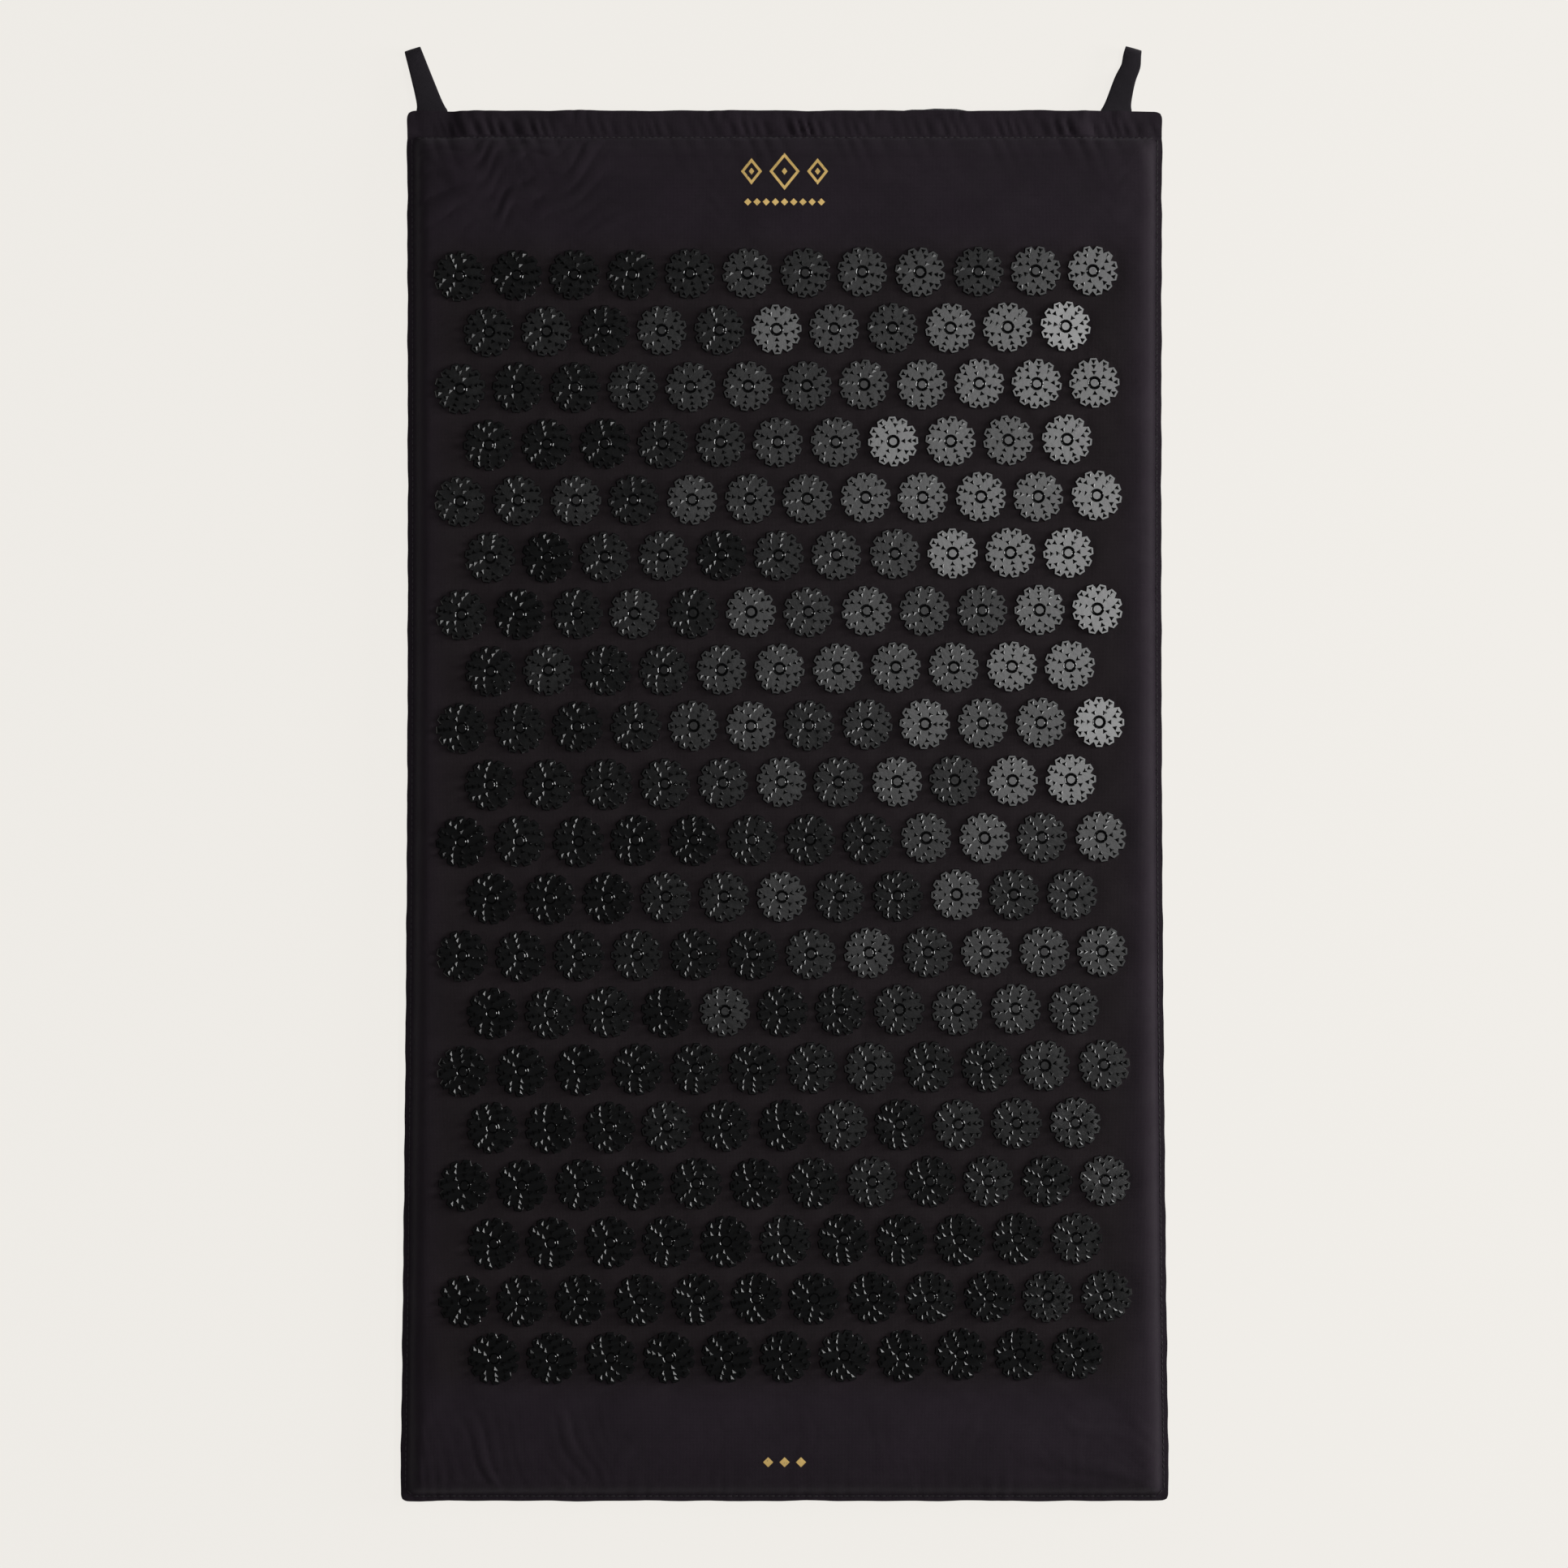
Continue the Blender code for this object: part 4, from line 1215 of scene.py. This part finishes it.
def make_loop_strip():
    """Make the loop tape on the back lip, its pile slightly raised."""
    across = spaced(PILE_LOW.x, PILE_HIGH.x, 0.0016)
    along = spaced(PILE_LOW.y, PILE_HIGH.y, 0.0012)
    strip = flat_grid("loop_strip", across, along)
    spots = vertex_spots(strip)
    fuzz = 0.00012
    generator = np.random.default_rng(95)
    spots[:, 2] = PILE_HIGH.z - 0.0001 + generator.uniform(-fuzz, fuzz, len(spots))
    move_vertices(strip, spots)
    apply_modifier(strip, "SOLIDIFY", "tape", thickness=PILE_HIGH.z - PILE_LOW.z - 0.0002, offset=-1)
    return strip


# The hanging loops

def loop_path(loops):
    """Return the strip's middle line seen from the side, from one sewn end round the tip to the other."""
    tail_steps = 4
    leg_steps = 24
    tip_steps = 12
    narrow = loops.root_radius * 0.75
    reach = loops.length - loops.tip_radius
    drop = HINGES["left_loop_swing"].z - loops.tip_radius - loops.strip / 2
    upper = []
    lower = []
    for step in range(-tail_steps, leg_steps + 1):
        share = max(step, 0) / leg_steps
        along = reach * share if step >= 0 else loops.tail * step / tail_steps
        middle = -drop * (1 - math.cos(math.pi * share)) / 2
        half_eye = narrow + (loops.tip_radius - narrow) * math.sin(math.pi / 2 * share)
        upper.append((along, middle + half_eye))
        lower.append((along, middle - half_eye))
    tip = []
    for step in range(1, tip_steps):
        angle = math.pi / 2 - math.pi * step / tip_steps
        tip.append((reach + loops.tip_radius * math.cos(angle), -drop + loops.tip_radius * math.sin(angle)))
    return upper + tip + lower[::-1]


def strip_width(along, loops):
    """Return how wide the strip is, narrower towards the loop's tip."""
    share = np.clip(along, 0, None) / loops.length
    return loops.root_width + (loops.tip_width - loops.root_width) * share ** 0.8


def bent_strip(across, along, height, hinge, lean, kink, loops):
    """Return the places of the flat strip's vertices in the finished loop."""
    flare = 0.16
    crown = 0.00035
    twist = 0.0016
    reach = np.clip(along, 0, None)
    share = reach / loops.length
    turn = lean * np.clip(share / loops.turn_share, 0, 1)
    spread = across * strip_width(along, loops) * (1 + flare * np.exp(-reach / 0.003))
    middle_x = reach * math.sin(lean) + kink * patch(share, 0.72, 0.16)
    middle_y = along * np.where(along > 0, math.cos(lean), 1)
    crowned = crown * (1 - (2 * across) ** 2)
    twisted = twist * across * np.sin(math.pi * share) * math.copysign(1, lean)
    return np.stack([
        hinge.x + middle_x + spread * np.cos(turn),
        hinge.y - loops.root_radius + middle_y - spread * np.sin(turn),
        np.maximum(hinge.z + height + crowned + twisted, loops.strip / 2),
    ], axis=1)


def make_hanging_loop(name, hinge, lean, kink, loops):
    """Make one hanging loop from a flat strip, bent over itself, narrowed, leaned and thickened."""
    path = loop_path(loops)
    lengths = [0.0]
    for before, after in zip(path, path[1:]):
        lengths.append(lengths[-1] + math.dist(before, after))
    strip = flat_grid(name, spaced(-0.5, 0.5, 0.126), lengths)
    across, travelled, _ = vertex_spots(strip).T
    numbers = np.searchsorted(np.array(lengths) - 1e-7, travelled, side="right") - 1
    along, height = np.array(path)[numbers].T
    move_vertices(strip, bent_strip(across, along, height, hinge, lean, kink, loops))
    map_flat(strip, np.stack([across * strip_width(along, loops), travelled], axis=1))
    apply_modifier(
        strip, "SOLIDIFY", "folded_strip", thickness=loops.strip * 0.9, offset=0, use_even_offset=True)
    apply_modifier(
        strip, "BEVEL", "soft_edges", width=loops.strip * 0.28, segments=2,
        limit_method="ANGLE", angle_limit=math.radians(50))
    return strip


# The spiked discs

def petal_outline(discs):
    """Return the radius of the petals' sharp tips before they are blunted, and how far to blunt them."""
    step = math.pi / discs.petals
    notch_x = discs.notch * math.cos(step)
    notch_y = discs.notch * math.sin(step)
    blunt_x = math.sqrt(discs.radius ** 2 - (discs.petal_tip / 2) ** 2)
    share = discs.petal_tip / 2 / notch_y
    sharp = (blunt_x - share * notch_x) / (1 - share)
    cut = share * math.hypot(sharp - notch_x, notch_y)
    return sharp, cut


def under_top(discs):
    """Return a height just under the plate's upper face, over which only that face is found."""
    return discs.plate * 0.999


def make_plate(discs):
    """Model the petalled plate with a bevelled rim, open on top, and stay in edit mode."""
    sharp, cut = petal_outline(discs)
    step = math.pi / discs.petals
    high = under_top(discs)
    deselect_everything()
    bpy.ops.mesh.primitive_circle_add(
        vertices=2 * discs.petals, radius=sharp, fill_type="NGON", location=(0, 0, 0))
    plate = rename_new("disc")

    def is_notch(vertex):
        return round(math.atan2(vertex.co.y, vertex.co.x) / step) % 2 == 1

    start_editing(plate, "VERT")
    pick(plate, "VERT", is_notch)
    resize_flat(discs.notch / sharp, (0, 0, 0))
    bpy.ops.mesh.select_all(action="INVERT")
    bpy.ops.mesh.bevel(offset=cut, offset_type="OFFSET", segments=1, affect="VERTICES")
    bpy.ops.mesh.select_mode(type="FACE")
    bpy.ops.mesh.select_all(action="SELECT")
    extrude_by(0, 0, discs.plate)
    pick(plate, "EDGE", lambda edge: all(vertex.co.z > high for vertex in edge.verts))
    bpy.ops.mesh.bevel(offset=discs.rim, segments=1, affect="EDGES")
    pick(plate, "FACE", lambda face: face.normal.z > 0.9 and len(face.verts) > 8)
    bpy.ops.mesh.delete(type="ONLY_FACE")
    return plate


def open_top(plate, discs):
    """Close the plate's top but for a round opening, and select the opening's edge."""
    high = under_top(discs)
    ring = discs.recess * 1.02

    def on_rim(edge):
        return (edge.is_boundary or edge.is_wire) and all(vertex.co.z > high for vertex in edge.verts)

    def on_opening(edge):
        return edge.is_boundary and all(vertex.co.xy.length < ring for vertex in edge.verts)

    bpy.ops.mesh.select_all(action="DESELECT")
    bpy.ops.mesh.primitive_circle_add(
        vertices=16, radius=discs.recess, fill_type="NOTHING", location=(0, 0, discs.plate))
    pick(plate, "EDGE", on_rim)
    bpy.ops.mesh.fill()
    pick(plate, "EDGE", on_opening)


def sink_recess(discs):
    """From the opening's edge, raise a lip, sink a ring and stand a boss in its middle."""
    inner_lip = discs.recess - 3 * discs.lip
    profile = (
        (discs.recess - 1.5 * discs.lip, discs.lip),
        (inner_lip, 0),
        ((inner_lip + discs.boss) / 2, -discs.recess_depth),
        (discs.boss, -discs.lip),
        (discs.boss - 1.5 * discs.lip, 0),
    )
    radius = discs.recess
    height = 0
    for new_radius, new_height in profile:
        extrude_by(0, 0, new_height - height)
        resize_flat(new_radius / radius, (0, 0, discs.plate))
        radius = new_radius
        height = new_height
    bpy.ops.mesh.edge_face_add()


def add_spikes(plate, discs):
    """Stand the three rings of pyramids on the plate, each with an edge inwards."""
    sunk = 0.0002
    tall = discs.spike_height + sunk
    middle = discs.plate - sunk + tall / 2
    rings = ((discs.outer_ring, discs.petals), (discs.middle_ring, 9), (discs.inner_ring, 6))
    for radius, count in rings:
        for number in range(count):
            angle = 2 * math.pi * number / count
            bpy.ops.mesh.primitive_cone_add(
                vertices=3, radius1=discs.spike_root, radius2=0, depth=tall, end_fill_type="NGON",
                location=(radius * math.cos(angle), radius * math.sin(angle), middle),
                rotation=(0, 0, angle + math.pi / 2))
        lean_ring(plate, discs, radius)


def lean_ring(plate, discs, radius):
    """Draw the tips of one ring of spikes in towards the disc's middle."""
    half_way = discs.plate + discs.spike_height / 2

    def is_tip(vertex):
        return vertex.co.z > half_way and abs(vertex.co.to_2d().length - radius) < discs.spike_root / 2

    pick(plate, "VERT", is_tip)
    resize_flat((radius - discs.spike_lean) / radius, (0, 0, discs.plate + discs.spike_height))


def make_disc(discs):
    """Model one whole disc at the origin, its underside at height zero."""
    disc = make_plate(discs)
    open_top(disc, discs)
    sink_recess(discs)
    add_spikes(disc, discs)
    bpy.ops.mesh.select_all(action="SELECT")
    stop_editing()
    return disc


def disc_matrix(x, y, turn, across, along):
    """Return the place of one disc."""
    leaned = Matrix.Rotation(along, 4, "X") @ Matrix.Rotation(across, 4, "Y")
    return Matrix.Translation((x, y, DISC_FOOT)) @ leaned @ Matrix.Rotation(turn, 4, "Z")


# Sewing and printing

def make_stitch(stitches):
    """Model one stitch: a short thread, its two ends drawn down."""
    deselect_everything()
    bpy.ops.mesh.primitive_cylinder_add(
        vertices=6, radius=stitches.thread, depth=stitches.length,
        location=(0, 0, 0), rotation=(0, math.pi / 2, 0))
    stitch = rename_new("stitch")
    apply_place()
    start_editing(stitch, "FACE")
    for side in (-1, 1):
        pick(stitch, "FACE", lambda face: face.normal.x * side > 0.9)
        extrude_by(side * stitches.thread, 0, -1.2 * stitches.thread)
        bpy.ops.transform.resize(value=(0.6, 0.6, 0.6))
    stop_editing()
    return stitch


def stitch_line(stitch, points, tree, thread):
    """Lay copies of the stitch along a line of points, on the cloth below it."""
    laid = []
    for before, after in zip(points, points[1:]):
        x = (before[0] + after[0]) / 2
        y = (before[1] + after[1]) / 2
        turn = math.atan2(after[1] - before[1], after[0] - before[0])
        place = Matrix.Translation((x, y, height_on(tree, x, y) + 0.35 * thread))
        laid.append(placed_copy(stitch, place @ Matrix.Rotation(turn, 4, "Z")))
    return laid


def hem_line(cover, stitches):
    """Return the points of the hem's stitching."""
    half = cover.width / 2 - 0.005
    return [(x, hem_stitching(cover)) for x in spaced(-half, half, stitches.pitch)]


def seam_line(cover, stitches):
    """Return the points of the stitching down the left side, along the foot and up the right side."""
    half = cover.width / 2 - stitches.inset
    foot = -cover.length / 2 + stitches.inset
    head = cover.length / 2 - cover.hem - 0.002
    round_corner = 0.004
    down = [(-half, y) for y in spaced(head, foot + round_corner, stitches.pitch)]
    along = [(x, foot) for x in spaced(-half + round_corner, half - round_corner, stitches.pitch)]
    up = [(half, y) for y in spaced(foot + round_corner, head, stitches.pitch)]
    return [(x - side_pull(x, y, cover), y) for x, y in down + along + up]


def add_lozenge(x, y, width, height, line=0.0):
    """Add a flat lozenge in edit mode, filled, or as an outline if a line width is given."""
    bpy.ops.mesh.select_all(action="DESELECT")
    bpy.ops.mesh.primitive_circle_add(vertices=4, radius=0.5, fill_type="NGON", location=(x, y, 1))
    bpy.ops.transform.resize(value=(width, height, 1), center_override=(x, y, 1))
    if line:
        bpy.ops.mesh.select_mode(type="FACE")
        bpy.ops.mesh.inset(thickness=line)
        bpy.ops.mesh.delete(type="FACE")


def draw_marks(cover, marks):
    """Draw plain marks: three lozenges over a row of dots at the top, and three small ones at the foot."""
    unit = marks.top_width / 12
    middle = cover.length / 2 - marks.top_middle
    big_row = middle + 1.8 * unit
    dot_row = middle - 1.6 * unit
    foot_row = -cover.length / 2 + marks.foot_middle
    dot = 0.8 * unit
    foot_size = 0.62 * marks.foot_pitch
    deselect_everything()
    bpy.ops.mesh.primitive_circle_add(
        vertices=4, radius=dot / 2, fill_type="NGON", location=(-4 * unit, dot_row, 1))
    ink = rename_new("gold_marks")
    apply_place()
    start_editing(ink, "VERT")
    for side, width, height in ((-1, 2.3, 3.0), (0, 3.3, 4.2), (1, 2.3, 3.0)):
        add_lozenge(side * 3.6 * unit, big_row, width * unit, height * unit, marks.line)
        add_lozenge(side * 3.6 * unit, big_row, 0.6 * unit, dot)
    for number in range(1, 9):
        add_lozenge((number - 4) * unit, dot_row, dot, dot)
    for side in (-1, 0, 1):
        add_lozenge(side * marks.foot_pitch, foot_row, foot_size, foot_size)
    bpy.ops.mesh.select_all(action="SELECT")
    bpy.ops.mesh.quads_convert_to_tris()
    bpy.ops.mesh.subdivide(number_cuts=5)
    stop_editing()
    return ink


def make_gold_marks(cover, marks, tree):
    """Draw the marks and lay them on the cloth below."""
    ink = draw_marks(cover, marks)
    spots = vertex_spots(ink)
    for spot in spots:
        spot[2] = height_on(tree, spot[0], spot[1]) + marks.lift
    move_vertices(ink, spots)
    return ink


# Camera, lamps and floor

def floor_material(stage):
    """Return a pale floor that keeps its tone in view and still takes the object's shadow."""
    material = bpy.data.materials.new("pale_floor")
    material.use_nodes = True
    tree = material.node_tree
    tree.nodes.clear()
    colour = (*stage.floor_colour, 1)
    lit = add_node(tree, "BsdfDiffuse", {"Color": colour})
    glow = add_node(tree, "Emission", {"Color": colour})
    rays = add_node(tree, "LightPath").outputs
    seen = maths(tree, "MAXIMUM", rays["Is Camera Ray"], rays["Is Glossy Ray"])
    seen = maths(tree, "MAXIMUM", seen, rays["Is Transmission Ray"])
    share = maths(tree, "MULTIPLY", seen, stage.floor_glow)
    mixed = add_node(tree, "MixShader", {0: share, 1: lit.outputs[0], 2: glow.outputs[0]})
    add_node(tree, "OutputMaterial", {"Surface": mixed.outputs[0]})
    return material


def add_floor(stage):
    """Add the floor, under everything that the mat has."""
    deselect_everything()
    bpy.ops.mesh.primitive_plane_add(size=40, location=(0, 0, min(0, SOLID_BOX[0].z)))
    floor = rename_new("floor")
    apply_place()
    dress(floor, floor_material(stage))
    return floor


def add_softbox(name, location, length, width, power):
    """Add a soft lamp that points at the mat, its length level."""
    deselect_everything()
    bpy.ops.object.light_add(type="AREA", location=location)
    lamp = bpy.context.object
    lamp.name = name
    lamp.data.shape = "RECTANGLE"
    lamp.data.size = length
    lamp.data.size_y = width
    lamp.data.energy = power
    lamp.rotation_euler = (-Vector(location)).to_track_quat("-Z", "Y").to_euler()
    return lamp


def add_camera(stage):
    """Add the camera over the mat, leaning slightly from straight down."""
    deselect_everything()
    away = Vector((0, -math.sin(stage.tilt), math.cos(stage.tilt))) * stage.distance
    spot = Vector((stage.aim_x, stage.aim_y, 0)) + away
    bpy.ops.object.camera_add(location=spot, rotation=(stage.tilt, 0, 0))
    camera = bpy.context.object
    camera.name = "photo_camera"
    camera.data.lens = stage.lens
    bpy.context.scene.camera = camera
    return camera


def light_world(stage):
    """Light the scene faintly from all round, with a soft glow high on the right and a pale backdrop."""
    scene = bpy.context.scene
    scene.world = scene.world or bpy.data.worlds.new("studio")
    scene.world.use_nodes = True
    tree = scene.world.node_tree
    facing = add_node(tree, "VectorMath", {
        0: add_node(tree, "TexCoord").outputs["Generated"],
        1: Vector(stage.glow_from).normalized(),
    }, operation="DOT_PRODUCT")
    share = maths(tree, "POWER", maths(tree, "MAXIMUM", facing.outputs["Value"], 0), stage.glow_focus)
    lit = maths(tree, "MULTIPLY_ADD", share, stage.glow, stage.sky)
    in_view = add_node(tree, "LightPath").outputs["Is Camera Ray"]
    sky = tree.nodes["Background"].inputs
    feed(tree, sky["Color"], (1, 1, 1, 1))
    feed(tree, sky["Strength"], maths(tree, "MAXIMUM", lit, maths(tree, "MULTIPLY", in_view, stage.backdrop)))
    scene.view_settings.view_transform = "Standard"


# Operators

class AddFoamSlab(bpy.types.Operator):
    """Add the foam slab inside the cover"""

    bl_idname = "acupressure_mat.add_foam_slab"
    bl_label = "Foam Slab"
    bl_options = {"REGISTER", "UNDO"}

    def execute(self, context):
        foam = make_foam_slab()
        dress(foam, pored_foam(context.scene.mat_cover.foam_colour))
        shade_by_angle(foam, 40)
        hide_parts("foam_pad")
        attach(foam, "mat")
        return {"FINISHED"}


class AddBackPanel(bpy.types.Operator):
    """Add the cover's back panel"""

    bl_idname = "acupressure_mat.add_back_panel"
    bl_label = "Back Panel"
    bl_options = {"REGISTER", "UNDO"}

    def execute(self, context):
        cover = context.scene.mat_cover
        back = make_back_panel(cover)
        dress(back, cover_cotton(cover))
        shade_by_angle(back, 60)
        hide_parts("bottom_panel")
        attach(back, "mat")
        return {"FINISHED"}


class AddFrontPanel(bpy.types.Operator):
    """Add the cover's front panel and the lip of its mouth"""

    bl_idname = "acupressure_mat.add_front_panel"
    bl_label = "Front Panel"
    bl_options = {"REGISTER", "UNDO"}

    def execute(self, context):
        cover = context.scene.mat_cover
        discs = context.scene.mat_discs
        front, lip = make_front_panel(cover, discs, context.scene.mat_loops)
        dress(front, front_cotton(cover, disc_places(discs, cover), discs.radius))
        dress(lip, cover_cotton(cover))
        for piece in (front, lip):
            shade_by_angle(piece, 60)
        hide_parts("top_panel")
        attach(front, "mat")
        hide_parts("mouth_flap")
        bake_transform(lip)
        return {"FINISHED"}


class AddClosure(bpy.types.Operator):
    """Add the hook tape and the loop tape that close the mouth"""

    bl_idname = "acupressure_mat.add_closure"
    bl_label = "Closure Tapes"
    bl_options = {"REGISTER", "UNDO"}

    def execute(self, context):
        cover = context.scene.mat_cover
        hooks = make_hook_strip()
        dress(hooks, hook_nylon(cover.tape_colour))
        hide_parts("hook_tape")
        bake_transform(hooks)
        pile = make_loop_strip()
        dress(pile, brushed_pile(cover.tape_colour))
        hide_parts("loop_tape")
        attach(pile, "mat")
        return {"FINISHED"}


class AddHangingLoops(bpy.types.Operator):
    """Add the two hanging loops in the top seam"""

    bl_idname = "acupressure_mat.add_hanging_loops"
    bl_label = "Hanging Loops"
    bl_options = {"REGISTER", "UNDO"}

    def execute(self, context):
        loops = context.scene.mat_loops
        cotton = woven_cotton("loop_cotton", context.scene.mat_cover.loop_colour, pitch=0.0005)
        for side, lean, kink in (("left", loops.left_lean, 0.0), ("right", loops.right_lean, 0.0012)):
            hinge = HINGES[f"{side}_loop_swing"]
            strip = make_hanging_loop(f"{side}_loop_strip", hinge, lean, kink, loops)
            dress(strip, cotton)
            shade_by_angle(strip, 45)
            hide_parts(f"{side}_hanging_loop")
            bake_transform(strip)
        return {"FINISHED"}


class AddDiscs(bpy.types.Operator):
    """Add the rows of spiked discs"""

    bl_idname = "acupressure_mat.add_discs"
    bl_label = "Spiked Discs"
    bl_options = {"REGISTER", "UNDO"}

    def execute(self, context):
        discs = context.scene.mat_discs
        master = make_disc(discs)
        dress(master, moulded_plastic(discs.colour))
        for number, places in enumerate(disc_places(discs, context.scene.mat_cover), start=1):
            copies = [placed_copy(master, disc_matrix(*place)) for place in places]
            row = join_pieces(copies, f"disc_row_{number:02d}")
            if number == 1:
                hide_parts(*FIRST_ROW)
            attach(row, "mat")
        bpy.data.objects.remove(master)
        return {"FINISHED"}


class AddStitches(bpy.types.Operator):
    """Sew the hem and the seams"""

    bl_idname = "acupressure_mat.add_stitches"
    bl_label = "Stitches"
    bl_options = {"REGISTER", "UNDO"}

    def execute(self, context):
        cover = context.scene.mat_cover
        stitches = context.scene.mat_stitches
        tree = surface_tree(bpy.data.objects["cover_front"], bpy.data.objects["mouth_lip"])
        master = make_stitch(stitches)
        dress(master, twisted_thread(stitches.colour))
        lines = {"hem_stitches": hem_line(cover, stitches), "seam_stitches": seam_line(cover, stitches)}
        for name, points in lines.items():
            sewn = join_pieces(stitch_line(master, points, tree, stitches.thread), name)
            shade_by_angle(sewn, 60)
            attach(sewn, "mat")
        bpy.data.objects.remove(master)
        return {"FINISHED"}


class AddGoldMarks(bpy.types.Operator):
    """Print the plain gold marks on the front panel"""

    bl_idname = "acupressure_mat.add_gold_marks"
    bl_label = "Gold Marks"
    bl_options = {"REGISTER", "UNDO"}

    def execute(self, context):
        cover = context.scene.mat_cover
        marks = context.scene.mat_marks
        ink = make_gold_marks(cover, marks, surface_tree(bpy.data.objects["cover_front"]))
        dress(ink, gold_ink(marks.colour, cover.colour, cover.thread_pitch))
        shade_by_angle(ink, 60)
        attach(ink, "mat")
        return {"FINISHED"}


class AddStage(bpy.types.Operator):
    """Add the camera, the lamps and the floor"""

    bl_idname = "acupressure_mat.add_stage"
    bl_label = "Camera, Lamps and Floor"
    bl_options = {"REGISTER", "UNDO"}

    def execute(self, context):
        stage = context.scene.mat_stage
        floor = add_floor(stage)
        strip = add_softbox(
            "strip_softbox", location=(0.685, -0.05, 2.0), length=1.3, width=0.17, power=stage.strip_power)
        side = add_softbox(
            "side_softbox", location=(2.1, 0.3, 0.82), length=1.1, width=1.0, power=stage.side_power)
        light_world(stage)
        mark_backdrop(floor, strip, side, add_camera(stage))
        return {"FINISHED"}


SETTINGS = {
    "mat_cover": CoverSettings,
    "mat_discs": DiscSettings,
    "mat_loops": LoopSettings,
    "mat_stitches": StitchSettings,
    "mat_marks": MarkSettings,
    "mat_stage": StageSettings,
}

OPERATORS = (
    AddFoamSlab, AddBackPanel, AddFrontPanel, AddClosure, AddHangingLoops,
    AddDiscs, AddStitches, AddGoldMarks, AddStage,
)


class MAT_PT_pieces(bpy.types.Panel):
    """Settings and buttons of the acupressure mat"""

    bl_idname = "MAT_PT_pieces"
    bl_label = "Acupressure Mat"
    bl_space_type = "VIEW_3D"
    bl_region_type = "UI"
    bl_category = "Mat"

    def draw(self, context):
        for pointer, kind in SETTINGS.items():
            box = self.layout.box()
            box.label(text=kind.__doc__)
            for setting in kind.__annotations__:
                box.prop(getattr(context.scene, pointer), setting)
        for operator in OPERATORS:
            self.layout.operator(operator.bl_idname)


def register():
    """Register the settings, the operators and the panel."""
    for pointer, kind in SETTINGS.items():
        bpy.utils.register_class(kind)
        setattr(bpy.types.Scene, pointer, PointerProperty(type=kind))
    for kind in (*OPERATORS, MAT_PT_pieces):
        bpy.utils.register_class(kind)


def unregister():
    """Take everything out again."""
    for kind in (MAT_PT_pieces, *reversed(OPERATORS)):
        bpy.utils.unregister_class(kind)
    for pointer, kind in reversed(SETTINGS.items()):
        delattr(bpy.types.Scene, pointer)
        bpy.utils.unregister_class(kind)


def main():
    """Make every piece and work out the size before and after."""
    register()
    bpy.ops.acupressure_mat.add_foam_slab()
    bpy.ops.acupressure_mat.add_back_panel()
    bpy.ops.acupressure_mat.add_front_panel()
    bpy.ops.acupressure_mat.add_closure()
    bpy.ops.acupressure_mat.add_hanging_loops()
    bpy.ops.acupressure_mat.add_discs()
    bpy.ops.acupressure_mat.add_stitches()
    bpy.ops.acupressure_mat.add_gold_marks()
    bpy.ops.acupressure_mat.add_stage()
    sizes = {"solid": SOLID_BOX, "dressed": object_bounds()}
    corners = {name: [list(low), list(high)] for name, (low, high) in sizes.items()}


if __name__ == "__main__":
    main()
